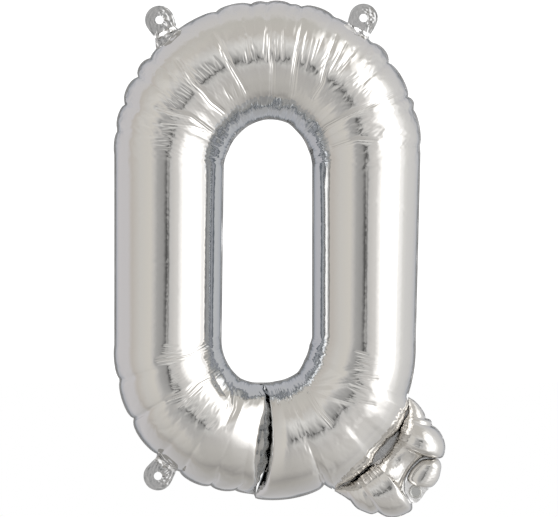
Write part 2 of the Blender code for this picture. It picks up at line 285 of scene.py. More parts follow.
# %% Floor
FLOOR_DROP = 70 * MM
floor_z = cad_box[0][2] - FLOOR_DROP
bpy.ops.object.select_all(action="DESELECT")
bpy.ops.mesh.primitive_plane_add(size=6, location=(0, 0, floor_z))
floor = bpy.context.object
floor.name = "table_top"
floor.visible_glossy = False
floor.visible_diffuse = False
white = bpy.data.materials.new("lit_white_acrylic")
white.use_nodes = True
white.node_tree.nodes.clear()
glow = add_node(white.node_tree, "ShaderNodeEmission", inputs={"Color": (1, 1, 1, 1), "Strength": 1.0})
add_node(white.node_tree, "ShaderNodeOutputMaterial", inputs={0: glow.outputs[0]})
floor.data.materials.append(white)

# %% [markdown]
# ## Metallised film
# The sheets are nylon film, about 0.04 mm thick, with aluminium evaporated onto it under vacuum. The metal
# gives a true mirror with a faint warm tint. Rolling leaves hair-fine lines along the web, and handling
# leaves a very shallow crinkle, so the mirror is never quite clean. Metal is base colour and roughness only,
# and the crinkle and the lines are a bump, because they are far finer than any mesh.

# %% Film material
FILM_SILVER = "#E9E7E4"
WEB_LINE = 0.9 * MM  # real lines are finer; drawn this coarse so that they still show
WEB_DEPTH = 0.0015 * MM
CRINKLE = 7 * MM
CRINKLE_DEPTH = 0.05 * MM
HAZE = 30 * MM  # patches where the film has been touched and the mirror is a little softer


def start_material(name, colour, roughness):
    """A Principled material of metal; gives the material, the tree, the shader and Object coordinates."""
    made = bpy.data.materials.new(name)
    made.use_nodes = True
    shader = made.node_tree.nodes["Principled BSDF"]
    shader.inputs["Base Color"].default_value = (*to_linear(colour), 1)
    shader.inputs["Metallic"].default_value = 1.0
    shader.inputs["Roughness"].default_value = roughness
    return made, made.node_tree, shader, add_node(made.node_tree, "ShaderNodeTexCoord").outputs["Object"]


def relief(tree, place, size, depth, detail=2.0, stretch=(1, 1, 1), under=None):
    """A bump of grains about size across and depth high, in metres, on top of another relief if given."""
    inputs = {"Vector": place, "Scale": tuple(s / size for s in stretch)}
    scaled = add_node(tree, "ShaderNodeMapping", inputs=inputs)
    inputs = {"Vector": scaled.outputs[0], "Scale": 1.0, "Detail": detail}
    grains = add_node(tree, "ShaderNodeTexNoise", inputs=inputs)
    inputs = {"Height": grains.outputs["Fac"], "Strength": 1.0, "Distance": depth}
    if under is not None:
        inputs["Normal"] = under
    return add_node(tree, "ShaderNodeBump", inputs=inputs).outputs[0]


film, tree, shader, place = start_material("aluminised_nylon_film", FILM_SILVER, 0.05)
crinkles = relief(tree, place, CRINKLE, CRINKLE_DEPTH)
lines = relief(tree, place, WEB_LINE, WEB_DEPTH, 1.0, (1, 1, 0.03), crinkles)
tree.links.new(lines, shader.inputs["Normal"])
patches = add_node(tree, "ShaderNodeMapping", inputs={"Vector": place, "Scale": (1 / HAZE,) * 3})
cloudy = add_node(
    tree, "ShaderNodeTexNoise", inputs={"Vector": patches.outputs[0], "Scale": 1.0, "Detail": 2.0}
)
haze = add_node(
    tree, "ShaderNodeMapRange", inputs={"Value": cloudy.outputs["Fac"], "To Min": 0.03, "To Max": 0.07}
)
tree.links.new(haze.outputs[0], shader.inputs["Roughness"])
print("Film:", len(tree.nodes), "nodes")

# %% [markdown]
# ## Pressed and crushed film
# The same film looks different wherever it has been worked. A hot ribbed bar leaves the welds crazed, milky
# and darker. The tabs are two films without air between them, crinkled by handling. Where the bar's end or
# the valve's dish is pressed, the film is bright but soft. Film that is crushed in a tight bend is full of
# tiny facets, which scatter the mirror and take light from it. Its colour is also painted darker and bluer:
# painted shade on the slit's lip, and a painted reflection of the tube's far wall round the counter. One
# recipe with five sets of values makes them all: metal with a relief of its own grain.

# %% Worked film materials
WORKED_FILMS = (
    # name, colour, roughness, size of the grains, detail, depth of the grains
    # the welds: milky and dim, with grains at the pitch of the bar's ribs
    ("heat_sealed_film", "#BDBDBE", 0.34, 1.1 * MM, 1.0, 0.12 * MM),
    # the tabs: a greyer mirror that breaks up into small bright and dark spots
    ("doubled_film", "#C6C6C6", 0.14, 2.2 * MM, 2.0, 0.05 * MM),
    # the pressed strip across a tab and the flap at the inlet: bright, soft and even
    ("pressed_film", "#F2F2F2", 0.25, 1.2 * MM, 1.0, 0.08 * MM),
    # round the counter and on the slit's lip: a sparkling mirror with painted shade, darker and bluer
    ("crushed_film_painted_shade", "#D4D6D8", 0.09, 3.0 * MM, 1.0, 0.04 * MM),
    # the inlet's ring: smooth, with one broad highlight on its bead
    ("valve_film", "#D8D8D6", 0.16, 1.5 * MM, 2.0, 0.015 * MM),
)
worked = []
for name, colour, roughness, grain, detail, depth in WORKED_FILMS:
    made, tree, shader, place = start_material(name, colour, roughness)
    tree.links.new(relief(tree, place, grain, depth, detail), shader.inputs["Normal"])
    worked.append(made)
weld_film, tab_film, press_film, crushed_film_painted_shade, inlet_film = worked
print("Materials:", [made.name for made in (film, *worked)])

# %% [markdown]
# ## Outline of the bowl
# The bowl's sizes come from the frame: its outer rim and its counter are round at both ends with straight
# sides between. The rim isn't a clean curve, because each fold that reaches it pulls it in by 1 or 2 mm.

# %% Bowl sizes
rim_low, rim_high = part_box("outer_seam")
counter_low, counter_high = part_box("counter_seam")
RIM_RADIUS = (rim_high.x - rim_low.x) / 2
COUNTER_EDGE = (counter_high.x - counter_low.x) / 2
TOP = rim_high.z - RIM_RADIUS
BOTTOM = rim_low.z + RIM_RADIUS
COUNTER_TOP = counter_high.z - COUNTER_EDGE
COUNTER_BOTTOM = counter_low.z + COUNTER_EDGE
OUTER_RIM = 1.2 * MM
COUNTER_RIM = 0.9 * MM
COUNTER_RIM_INNER = 1.4 * MM  # from the counter's film edge to the rim's inner edge in the frame
FILM_OUTER = RIM_RADIUS - OUTER_RIM
FILM_INNER = COUNTER_EDGE - COUNTER_RIM_INNER + COUNTER_RIM
TUBE_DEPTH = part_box("bowl_front_film")[0].y * -1
SIDE_DEPTH = TUBE_DEPTH - 2.0 * MM
WELD_ANGLE = 95.0  # clockwise round the bottom end from the right side
print("Bowl", round(2 * RIM_RADIUS / MM, 1), "mm wide, tube", round(2 * TUBE_DEPTH / MM, 1), "mm deep")

# %% [markdown]
# ## Edge of the film
# A plain round end would look stamped. On the real balloon every fold that reaches the weld pulls the rim in
# to a notch, and the film between two notches swells out as a small lobe. Both were read off the picture,
# and so was how far each edge lies inside or outside the plain outline as a whole.

# %% Edge of the film
NOTCHES = {
    # degrees clockwise from the right side, how far the fold pulls the rim in, and how far the lobe between
    # this notch and the next swells out, in mm
    "top": (
        (180.0, 0.0, 0.7), (188.9, 1.2, 1.3), (199.3, 1.8, 2.2), (210.6, 1.8, 2.2),
        (219.0, 0.9, 0.8), (249.7, 1.4, 0.9), (263.3, 1.8, 0.4), (269.6, 1.0, 0.8),
        (278.7, 1.0, 0.0), (283.0, 1.3, 1.8), (295.8, 0.8, 0.8), (313.0, 0.6, 2.8),
        (322.8, 1.3, 1.4), (337.8, 1.0, 1.8), (342.6, 0.8, 1.2), (357.0, 0.5, 0.0),
        (360.0, 0.0, 0.0),
    ),
    "bottom": (
        (0.0, 0.0, 0.0), (68.1, 1.6, 1.5), (94.3, 0.0, 0.0), (102.9, 1.0, 1.0), (112.2, 1.2, 1.8),
        (125.0, 0.6, 0.6), (135.0, 0.6, 2.2), (151.3, 1.9, 1.3), (166.9, 1.4, 0.8),
        (180.0, 0.0, 0.0),
    ),
}
NOTCH_WIDTH = 1.3  # degrees
OUTER_DRIFT = {
    # degrees clockwise from the right side, how far the rim lies outside a plain round end, in mm
    "top": ((180, 0.9), (205, 0.4), (360, 0.0)),
    "bottom": (
        (0, -3.4), (20, -2.8), (24.5, 2.6), (29, 2.9), (33, 3.8), (36, 3.6), (38.5, 2.2), (42, 1.7),
        (45.5, 2.2), (48, 4.6), (53, 5.2), (58, 5.8), (61, 5.5), (65, 6.0), (68, 0.0), (94.6, 0.9),
        (95.4, -2.0), (104, -1.8), (112, 0.3), (125, 1.8), (150, 2.0), (165, 0.8), (180, 0.9),
    ),
}
INNER_DRIFT = {
    # the same for the counter's edge
    "top": (
        (180, -1.0), (200, -2.6), (228, -2.3), (249, -1.2), (268, -0.2), (296, 0.5), (310, -1.0),
        (340, -1.9), (360, -1.0),
    ),
    "bottom": (
        (0, -1.1), (11, -2.4), (33, -1.8), (50, 0.4), (80, -0.5), (97, 0.3), (112, 2.0), (124, 3.0),
        (150, 1.8), (180, 0.6),
    ),
}


def outer_shift(end, degrees):
    """How far the outer edge lies outside the plain round end, in metres: drift, lobes and notches."""
    marks = NOTCHES[end]
    shift = np.interp(degrees, *zip(*OUTER_DRIFT[end]))
    shift -= max(pull * math.exp(-abs(degrees - a) / NOTCH_WIDTH) for a, pull, _ in marks)
    for (a, _, swell), (b, _, _) in zip(marks, marks[1:]):
        if a < degrees < b:
            shift += swell * math.sin(math.pi * (degrees - a) / (b - a)) ** 0.6
    return shift * MM


def on_end(centre, radius, degrees):
    """X and Z of a place round one end of the bowl."""
    angle = math.radians(degrees)
    return np.array([radius * math.cos(angle), centre - radius * math.sin(angle)])


print("Notches:", {end: sum(pull > 0 for _, pull, _ in marks) for end, marks in NOTCHES.items()})

# %% [markdown]
# ## Stations round the bowl
# The sheet is a grid: rows run across the tube from the outer edge to the counter, and there is a row at
# each station on the way round, from one side of the weld at the bottom to its other side.

# %% Stations
END_ROWS = 170
SIDE_ROWS = 66
WELD_SPLIT = 0.35  # degrees from the weld's middle to the first row on each side


def bowl_stations():
    """(part of the bowl, degrees or share of the straight side) for each row."""
    first, last = WELD_ANGLE + WELD_SPLIT, WELD_ANGLE - WELD_SPLIT
    rows_before = round(END_ROWS * (180 - first) / 180)
    rows_after = round(END_ROWS * last / 180)
    rows = [("bottom", a) for a in np.linspace(first, 180, rows_before + 1)]
    rows += [("left", i / SIDE_ROWS) for i in range(1, SIDE_ROWS)]
    rows += [("top", a) for a in np.linspace(180, 360, END_ROWS + 1)]
    rows += [("right", i / SIDE_ROWS) for i in range(1, SIDE_ROWS)]
    rows += [("bottom", a) for a in np.linspace(0, last, rows_after + 1)]
    return rows


def bowl_edges(row, outer_radius, inner_radius, notched):
    """X and Z of the outer and the counter edge at one station."""
    part, value = row
    if part in ("left", "right"):
        ends = (("bottom", 180), ("top", 180)) if part == "left" else (("top", 360), ("bottom", 0))
        low, high = [bowl_edges(end, outer_radius, inner_radius, notched) for end in ends]
        return [a * (1 - value) + b * value for a, b in zip(low, high)]
    if notched:
        outer_radius = outer_radius + outer_shift(part, value)
        inner_radius = inner_radius + np.interp(value, *zip(*INNER_DRIFT[part])) * MM
    outer_centre, inner_centre = (TOP, COUNTER_TOP) if part == "top" else (BOTTOM, COUNTER_BOTTOM)
    return [on_end(outer_centre, outer_radius, value), on_end(inner_centre, inner_radius, value)]


def outer_line(stations, radius):
    """X and Z along the bowl's notched outer edge."""
    return [bowl_edges(row, radius, FILM_INNER, True)[0] for row in stations]


def counter_line(stations, radius):
    """X and Z along the counter's edge."""
    return [bowl_edges(row, FILM_OUTER, radius, True)[1] for row in stations]


rows = bowl_stations()
print(len(rows), "stations round the bowl")

# %% [markdown]
# ## Cut and drawn-in shapes
# A simulation can fold the film as the real one folds. It starts from a tube that is a few percent longer
# round each end, which is the length that the flat cut has to spare. Its welded edges are then drawn in to
# their true place over some frames, while air presses from inside, and the spare film has to crease. Each
# row is turned and moved a little further than its neighbour, which makes the longer tube.

# %% Drawn-in rows
ROW_POINTS = 50
SPARE_AT_ENDS = 0.045
SPARE_ON_SIDES = 0.004
STEEP_REACH = {"left": 6 * MM, "right": 5 * MM}  # the steep end of each chamber beside the weld
STEEP_SHAPE = {"left": 1.7, "right": 2.2}
SAG = {"left": 0.28, "right": 0.18}  # behind it the tube has lost this share of its depth,
SAG_REACH = {"left": 42 * MM, "right": 22 * MM}  # which it regains over this reach
SHOULDER_SHAPE = 2.5
mid_radius = (FILM_OUTER + FILM_INNER) / 2
around = np.pi * np.arange(ROW_POINTS + 1) / ROW_POINTS


def shoulder(share, shape=SHOULDER_SHAPE):
    """Round rise from 0 at a weld to 1 at the full tube."""
    near = 1 - min(max(share, 0.0), 1.0)
    return (1 - near**shape) ** (1 / shape)


def row_depth(row):
    """Half the tube's depth at a station."""
    part, value = row
    if part in ("left", "right"):
        return SIDE_DEPTH
    deep = SIDE_DEPTH + (TUBE_DEPTH - SIDE_DEPTH) * abs(math.sin(math.radians(value)))
    if part == "bottom":
        away_from_weld = mid_radius * math.radians(abs(value - WELD_ANGLE))
        side = "left" if value > WELD_ANGLE else "right"
        sag = SAG[side] * (1 - math.sin(math.pi / 2 * min(away_from_weld / SAG_REACH[side], 1.0)))
        deep *= max(shoulder(away_from_weld / STEEP_REACH[side], STEEP_SHAPE[side]), 0.01) * (1 - sag)
    return deep


def frame_of(row):
    """Middle, direction and width of a row, without notches."""
    outer, inner = bowl_edges(row, FILM_OUTER, FILM_INNER, False)
    run = inner - outer
    return (outer + inner) / 2, math.atan2(run[1], run[0]), np.linalg.norm(run)


def turned(vector, angle):
    """The vector turned by an angle."""
    c, s = math.cos(angle), math.sin(angle)
    return np.array([c * vector[0] - s * vector[1], s * vector[0] + c * vector[1]])


def further(start, end, factor):
    """The move and the turn from one row to the next, made longer by a factor."""
    (p, a, _), (q, b, _) = start, end
    turn = (b - a + math.pi) % (2 * math.pi) - math.pi
    if abs(turn) < 1e-7:
        return (q - p) * factor, 0.0
    c, s = math.cos(turn), math.sin(turn)
    pivot = np.linalg.solve(np.array([[1 - c, s], [-s, 1 - c]]), q - turned(p, turn))
    return turned(p - pivot, turn * factor) + pivot - p, turn * factor


row_frames = [frame_of(row) for row in rows]
cut_frames = [row_frames[0][:2]]
for k in range(len(rows) - 1):
    at_end = rows[k][0] in NOTCHES and rows[k + 1][0] in NOTCHES
    move, turn = further(row_frames[k], row_frames[k + 1], 1 + (SPARE_AT_ENDS if at_end else SPARE_ON_SIDES))
    place, angle = cut_frames[-1]
    cut_frames.append((place + turned(move, angle - row_frames[k][1]), angle + turn))

middle = len(rows) // 2
swing = row_frames[middle][1] - cut_frames[middle][1]
hold = cut_frames[middle][0]
cut_frames = [(row_frames[middle][0] + turned(p - hold, swing), a + swing) for p, a in cut_frames]
print("Spare turn", round(math.degrees(SPARE_AT_ENDS * 2 * math.pi), 1), "degrees")

# %% [markdown]
# ## Where the folds start
# Folds form where the film was already bent, so shallow grooves are pressed into the starting shape along
# the folds of the picture. The simulation then deepens them and adds its own between them.

# %% Fold table
FOLDS = (
    # (column, row) places along the fold, depth and half width in mm
    (((160, 110), (180, 117), (193, 120), (212, 134)), 1.6, 1.6),
    (((165, 126), (195, 129), (208, 133)), 1.0, 1.3),
    (((180, 64), (196, 88), (205, 96), (213, 106), (225, 115)), 1.8, 1.6),
    (((216, 40), (233, 72), (240, 84), (247, 96)), 1.4, 1.5),
    (((245, 40), (248, 65)), 0.8, 1.2),
    (((267, 20), (273, 70), (272, 100)), 1.2, 1.4),
    (((302, 25), (294, 75), (291, 98)), 1.3, 1.4),
    (((307, 37), (302, 65)), 0.8, 1.0),
    (((335, 40), (325, 68), (320, 88), (312, 100)), 1.5, 1.5),
    (((344, 47), (332, 72)), 0.9, 1.2),
    (((353, 54), (338, 75)), 0.9, 1.2),
    (((400, 92), (388, 99), (370, 108), (348, 118), (325, 130), (318, 136)), 2.0, 1.6),
    (((368, 114), (345, 119)), 0.8, 1.2),
    (((395, 146), (370, 143), (355, 142), (330, 150)), 1.2, 1.4),
    (((160, 359), (172, 357), (192, 353), (208, 345)), 1.4, 1.3),
    (((170, 397), (190, 390), (200, 380), (210, 375)), 1.5, 1.4),
    (((183, 403), (203, 384)), 1.0, 1.2),
    (((213, 369), (231, 398)), 3.8, 3.0),
    (((231, 378), (235, 392), (234, 405), (225, 423)), 3.2, 3.0),
    (((228, 400), (225, 420)), 0.9, 1.2),
    (((306, 388), (320, 410), (330, 421)), 1.4, 1.4),
    (((287, 388), (287, 401)), 0.9, 1.1),
    (((313, 384), (345, 380), (375, 376)), 1.3, 1.4),
    (((310, 388), (345, 398), (372, 402)), 1.1, 1.4),
    (((316, 378), (350, 366), (380, 362)), 0.9, 1.3),
)


def near_line(places, start, end):
    """Distance of many places from the stretch between two others."""
    run = end - start
    share = np.clip((places - start) @ run / (run @ run), 0, 1)
    return np.linalg.norm(places - start - share[:, None] * run, axis=1)


def groove(places, folds):
    """Depth of the fold grooves at many places."""
    depth = np.zeros(len(places))
    for corners, deep, wide in folds:
        line = [at_pixel(*corner) for corner in corners]
        away = np.min([near_line(places, a, b) for a, b in zip(line, line[1:])], axis=0)
        depth = np.maximum(depth, deep * MM * np.exp(-((away / (wide * MM)) ** 2)))
    return depth


# %% [markdown]
# ## Grid of the bowl's front sheet
# Both shapes are worked out point by point: the drawn-in one, with its notched edge, and the cut one.

# %% Bowl grid
random = np.random.default_rng(3)
count = len(rows)
drawn = np.zeros((count, ROW_POINTS + 1, 3))
offsets = np.zeros((count, ROW_POINTS + 1, 2))  # along the row and out of the seam plane
outward = np.zeros_like(offsets)
for k, row in enumerate(rows):
    outer, inner = bowl_edges(row, FILM_OUTER, FILM_INNER, True)
    along = -np.cos(around) / 2
    width, deep = row_frames[k][2], row_depth(row)
    drawn[k, :, [0, 2]] = np.outer(outer, 0.5 - along) + np.outer(inner, 0.5 + along)
    drawn[k, :, 1] = -deep * np.sin(around)
    offsets[k, :, 0] = along * width
    offsets[k, :, 1] = -deep * np.sin(around)
    slope = np.stack([-np.cos(around) / (width / 2), -np.sin(around) / TUBE_DEPTH], axis=1)
    outward[k] = slope / np.linalg.norm(slope, axis=1)[:, None]

GROOVE_SHARE = 0.3  # of a fold's depth is pressed in before the simulation
ROUGH = 0.05 * MM
GATHER = 0.15 * MM  # rows that start a little in or out beside an edge are what gathers the film there
SIDE_GATHER = 0.45
COUNTER_REACH, RIM_REACH = 0.5, 0.35  # of the gathers, as angles round the tube
pressed = GROOVE_SHARE * groove(drawn[:, :, [0, 2]].reshape(-1, 2), FOLDS).reshape(count, -1)
pressed += random.normal(0, ROUGH, pressed.shape)
per_row = random.normal(0, GATHER, (count, 1))
on_arc = np.array([[1.0 if part in NOTCHES else SIDE_GATHER] for part, _ in rows])
pressed += per_row * on_arc * np.exp(-(((math.pi - around) / COUNTER_REACH) ** 2))
pressed += per_row * on_arc * np.exp(-((around / RIM_REACH) ** 2))
pressed[[0, -1]] = 0
pressed[:, [0, -1]] = 0
offsets -= pressed[:, :, None] * outward

cut = np.zeros_like(drawn)
for k, (place, angle) in enumerate(cut_frames):
    cut[k, :, 0] = place[0] + offsets[k, :, 0] * math.cos(angle)
    cut[k, :, 2] = place[1] + offsets[k, :, 0] * math.sin(angle)
    cut[k, :, 1] = offsets[k, :, 1]
print("Bowl sheet of", count * (ROW_POINTS + 1), "points")

# %% [markdown]
# ## Blowing up a sheet
# Cloth with pressure does the folding. The film hardly stretches but bends easily, so its tension is high
# and its bending low. The edges follow a shape key from the cut shape to the drawn-in one. Gravity is off:
# the film weighs a few grams and the air holds it.


# %% Cloth helper
def grid_faces(row_count, point_count):
    """Faces of a grid of rows, turned so that a sheet in front faces the front."""
    faces = []
    for k in range(row_count - 1):
        for j in range(point_count - 1):
            a = k * point_count + j
            faces.append((a, a + 1, a + point_count + 1, a + point_count))
    return faces


def border(shape):
    """True on the border of a grid, where the film is welded, and False inside."""
    on_border = np.ones(shape, bool)
    on_border[1:-1, 1:-1] = False
    return on_border


def blow_up(name, cut_shape, drawn_shape, frames, pull_frames, pressure, bend):
    """The folded shape of a sheet after its welded edges have been drawn in under pressure."""
    row_count, point_count, _ = drawn_shape.shape
    mesh = bpy.data.meshes.new(name)
    mesh.from_pydata(cut_shape.reshape(-1, 3).tolist(), [], grid_faces(row_count, point_count))
    sheet = bpy.data.objects.new(name, mesh)
    bpy.context.scene.collection.objects.link(sheet)
    sheet.shape_key_add(name="cut", from_mix=False)
    pulled = sheet.shape_key_add(name="drawn_in", from_mix=False)
    pulled.data.foreach_set("co", drawn_shape.astype(np.float32).ravel())
    for value, when in ((0.0, 1), (1.0, pull_frames)):
        pulled.value = value
        pulled.keyframe_insert("value", frame=when)
    edge = sheet.vertex_groups.new(name="welded")
    edge.add([int(i) for i in np.nonzero(border((row_count, point_count)).ravel())[0]], 1.0, "REPLACE")

    cloth = sheet.modifiers.new("air", "CLOTH")
    rules = cloth.settings
    rules.quality = 5
    rules.mass = 0.00002
    rules.tension_stiffness = rules.compression_stiffness = 40
    rules.shear_stiffness = 12
    rules.bending_stiffness = bend
    rules.tension_damping = rules.compression_damping = rules.shear_damping = 5
    rules.use_pressure = True
    rules.uniform_pressure_force = pressure
    rules.vertex_group_mass = edge.name
    rules.effector_weights.gravity = 0
    cloth.collision_settings.use_collision = False  # what goes through the seam plane is set back later
    cloth.point_cache.frame_end = frames
    for now in range(1, frames + 1):
        bpy.context.scene.frame_set(now)
    folded = sheet.evaluated_get(bpy.context.evaluated_depsgraph_get())
    result = np.empty(row_count * point_count * 3, np.float32)
    folded.data.vertices.foreach_get("co", result)
    bpy.data.objects.remove(sheet)
    bpy.context.scene.frame_set(1)
    return result.reshape(drawn_shape.shape).astype(float)


# %% [markdown]
# ## Holding the main shape
# The simulation is kept for its folds alone. Where the folded tube as a whole has drifted from its true
# depth, the drift is smoothed out of it: the difference from the drawn-in shape is blurred until only its
# broad part is left, and that part is added back.


# %% Drift helper
DRIFT_FADE = 4  # rows or points beside the border over which the correction sets in


def from_ends(number):
    """How many steps each place of a row lies from its nearer end."""
    return np.minimum(np.arange(number), np.arange(number)[::-1])


def blurred(values, reach, axis):
    """Values of a grid averaged over their neighbours along one axis."""
    weights = np.exp(-0.5 * (np.arange(-3 * reach, 3 * reach + 1) / reach) ** 2)
    weights /= weights.sum()
    padding = [(0, 0)] * values.ndim
    padding[axis] = (3 * reach, 3 * reach)
    padded = np.pad(values, padding, mode="edge")
    return np.apply_along_axis(lambda line: np.convolve(line, weights, "valid"), axis, padded)


def hold_shape(folded, wanted, share, row_reach, point_reach):
    """The folded sheet with its broad drift from the wanted shape taken out."""
    drift = blurred(blurred(wanted - folded, row_reach, 0), point_reach, 1)
    row_count, point_count, _ = folded.shape
    row_fade = np.minimum(from_ends(row_count)[:, None, None] / DRIFT_FADE, 1)
    fade = row_fade * np.minimum(from_ends(point_count)[None, :, None] / DRIFT_FADE, 1)
    return folded + share * fade * drift


# %% [markdown]
# ## Folds of the bowl
# The bowl's sheet is blown up once, and its back is the same sheet mirrored. Only a share of the folding is
# kept, because the picture's bottom end and sides are much smoother than its top, and none right beside the
# weld, where the chambers' steep ends have a shape of their own.

# %% Blow up the bowl
KEPT = {"top": 0.42, "left": 0.1, "right": 0.1, "bottom": 0.14}  # share of the simulated folding
UNFOLDED = 8 * MM  # from the weld, and the folding sets in over the next stretch
UNFOLDED_FADE = 12 * MM
weld_distance = np.array(
    [mid_radius * math.radians(abs(value - WELD_ANGLE)) if part == "bottom" else 1.0 for part, value in rows]
)
kept = blurred(np.array([[KEPT[part]] for part, _ in rows]), 6, 0)[:, 0]
kept *= np.clip((weld_distance - UNFOLDED) / UNFOLDED_FADE, 0, 1)
bowl = blow_up("bowl_sheet", cut, drawn, frames=30, pull_frames=16, pressure=12.0, bend=0.02)
bowl = hold_shape(bowl, drawn, share=0.9, row_reach=8, point_reach=5)
bowl = drawn + kept[:, None, None] * (bowl - drawn)
print("Bowl sheet reaches", round(-bowl[:, :, 1].min() / MM, 1), "mm from the seam plane")

# %% [markdown]
# ## Sharp creases
# Foil folds are sharper than the simulated grid can hold. The folded sheet is therefore made three times as
# fine along the tube and twice as fine across it, and the sharp creases are pressed into the finer one:
# single folds, and rows of short puckers where the spare film bunches up over the tube's highest line.


# %% Finer grid
ROW_SPLIT, POINT_SPLIT = 3, 2


def finer(values, factor, axis):
    """The grid with its gaps along one axis split by a smooth curve."""
    values = np.moveaxis(values, axis, 0)
    padded = np.concatenate([2 * values[:1] - values[1:2], values, 2 * values[-1:] - values[-2:-1]])
    before, start, end, after = padded[:-3], padded[1:-2], padded[2:-1], padded[3:]
    steps = []
    for t in np.arange(factor) / factor:
        curve = start * 2 + (end - before) * t + (2 * before - 5 * start + 4 * end - after) * t**2
        steps.append((curve + (3 * start - before - 3 * end + after) * t**3) / 2)
    made = np.stack(steps, axis=1).reshape(-1, *values.shape[1:])
    return np.moveaxis(np.concatenate([made, values[-1:]]), 0, axis)


def finer_sheet(sheet):
    """The sheet with both its rows and its points split."""
    return finer(finer(sheet, ROW_SPLIT, 0), POINT_SPLIT, 1)


def out_of_sheet(sheet):
    """Unit directions square to the sheet, away from the air."""
    square = np.cross(np.gradient(sheet, axis=1), np.gradient(sheet, axis=0))
    return square / (np.linalg.norm(square, axis=2)[:, :, None] + 1e-12)


def crumple(shape, cell, size):
    """Flat facets of random height, in metres, with sharp edges, for film that is crushed."""
    coarse = random.normal(0, size, (shape[0] // cell[0] + 2, shape[1] // cell[1] + 2))
    along, across = np.arange(shape[0]) / cell[0], np.arange(shape[1]) / cell[1]
    i, j = along.astype(int), across.astype(int)
    u, v = (along - i)[:, None], (across - j)[None, :]
    low = coarse[i][:, j] * (1 - v) + coarse[i][:, j + 1] * v
    high = coarse[i + 1][:, j] * (1 - v) + coarse[i + 1][:, j + 1] * v
    return low * (1 - u) + high * u


# %% [markdown]
# ## Puckers
# Over the tube's highest line the picture shows short, parallel puckers in groups. Each group is one line
# of a table, and the puckers in it get their own length, place and depth at random within narrow bounds.

# %% Puckers
PUCKERS = (
    # the row of puckers runs from one (column, row) to another: how many, length in pixels, depth in mm
    ((164, 126), (164, 152), 9, 20, 0.30),
    ((172, 112), (190, 92), 9, 13, 0.45),
    ((162, 117), (178, 100), 5, 22, 0.35),
    ((192, 86), (220, 65), 11, 13, 0.45),
    ((185, 90), (199, 76), 4, 24, 0.50),
    ((222, 60), (230, 57), 3, 24, 0.50),
    ((244, 56), (256, 53), 4, 26, 0.50),
    ((263, 50), (286, 50), 8, 28, 0.60),
    ((294, 52), (318, 58), 7, 32, 0.65),
    ((226, 100), (246, 92), 6, 14, 0.35),
    ((322, 62), (345, 76), 9, 24, 0.55),
    ((350, 78), (368, 96), 9, 14, 0.35),
    ((326, 110), (318, 96), 4, 16, 0.20),
    ((172, 342), (172, 356), 4, 18, 0.30),
    ((176, 360), (180, 396), 14, 9, 0.25),
    ((186, 396), (222, 428), 17, 9, 0.35),
    ((238, 392), (258, 392), 8, 10, 0.35),
    ((361, 350), (359, 376), 9, 18, 0.40),
    ((360, 380), (354, 398), 6, 20, 0.45),
    ((250, 462), (257, 474), 5, 12, 0.40),
)
PUCKER_WIDTH = 0.55 * MM


def crease(places, start, end, wide):
    """1 on the line from start to end, falling off sharply beside it and towards its ends."""
    run = end - start
    length = np.linalg.norm(run)
    along = (places - start) @ run / length**2
    across = np.abs((places[..., 0] - start[0]) * run[1] - (places[..., 1] - start[1]) * run[0]) / length
    taper = np.sqrt(np.clip(1 - (2 * along - 1) ** 2, 0, None))
    return taper * np.exp(-across / wide)


def pucker_rows(places):
    """Depth of all the short puckers at many places."""
    depth = np.zeros(places.shape[:-1])
    for first, last, number, length, deep in PUCKERS:
        first, last = at_pixel(*first), at_pixel(*last)
        along = (last - first) / np.linalg.norm(last - first)
        square = np.array([-along[1], along[0]]) * length * PIXEL / 2
        for share in (np.arange(number) + random.uniform(0.1, 0.9, number)) / number:
            middle = first + (last - first) * share + square * random.uniform(-0.25, 0.25)
            reach = square * random.uniform(0.7, 1.15) + along * random.normal(0, 0.8 * MM)
            fold = crease(places, middle - reach, middle + reach, PUCKER_WIDTH)
            depth = np.maximum(depth, fold * deep * MM * random.uniform(0.5, 1.1))
    return depth


# %% [markdown]
# ## Finer grid of the bowl
# The folded sheet and its flat plan are made finer. Beside the weld each chamber ends in a steep wall, so the
# rows there are set closer together and follow the wall's true shape. Every place also gets its distance
# from the weld, the rim and the counter, by which the creases below are placed.

# %% Finer bowl
FINE_POINTS = ROW_POINTS * POINT_SPLIT + 1
END_WALL_ROWS = 18
PINCHED = (24, 66)  # degrees between which the tail's weld pinches the edge
bowl = finer_sheet(bowl)
plane = finer_sheet(drawn)[:, :, [0, 2]]
fine_shape = bowl.shape[:2]
to_weld = finer(weld_distance, ROW_SPLIT, 0)
fine_around = np.pi * np.arange(FINE_POINTS) / (FINE_POINTS - 1)
across = (1 - np.cos(fine_around)) / 2
for side, first in ((1, 0), (-1, fine_shape[0] - 1)):
    last = to_weld[first + side * END_WALL_ROWS] / mid_radius
    for i in range(END_WALL_ROWS):
        k = first + side * i
        share = (i / END_WALL_ROWS) ** 2
        off = math.radians(WELD_SPLIT) * (1 - share) + last * share
        row = ("bottom", WELD_ANGLE + side * math.degrees(off))
        outer, inner = bowl_edges(row, FILM_OUTER, FILM_INNER, True)
        bowl[k, :, [0, 2]] = np.outer(outer, 1 - across) + np.outer(inner, across)
        bowl[k, :, 1] = -row_depth(row) * np.sin(fine_around)
        plane[k] = bowl[k][:, [0, 2]]
        to_weld[k] = mid_radius * off
to_weld = to_weld[:, None]
TUBE_WIDTH = FILM_OUTER - FILM_INNER
from_rim = TUBE_WIDTH * across[None, :]  # as seen from the front
from_counter = TUBE_WIDTH - from_rim


def rows_where(test):
    """1 on the fine rows whose station passes the test, 0 on the others."""
    return finer(np.array([1.0 if test(*row) else 0.0 for row in rows]), ROW_SPLIT, 0)[:, None]


is_end = rows_where(lambda part, value: part in NOTCHES)
beside_tail = rows_where(lambda part, value: part == "bottom" and PINCHED[0] < value < PINCHED[1])
on_left = rows_where(lambda part, value: part == "bottom" and value > WELD_ANGLE)
print("Fine sheet of", fine_shape[0], "by", fine_shape[1], "points")

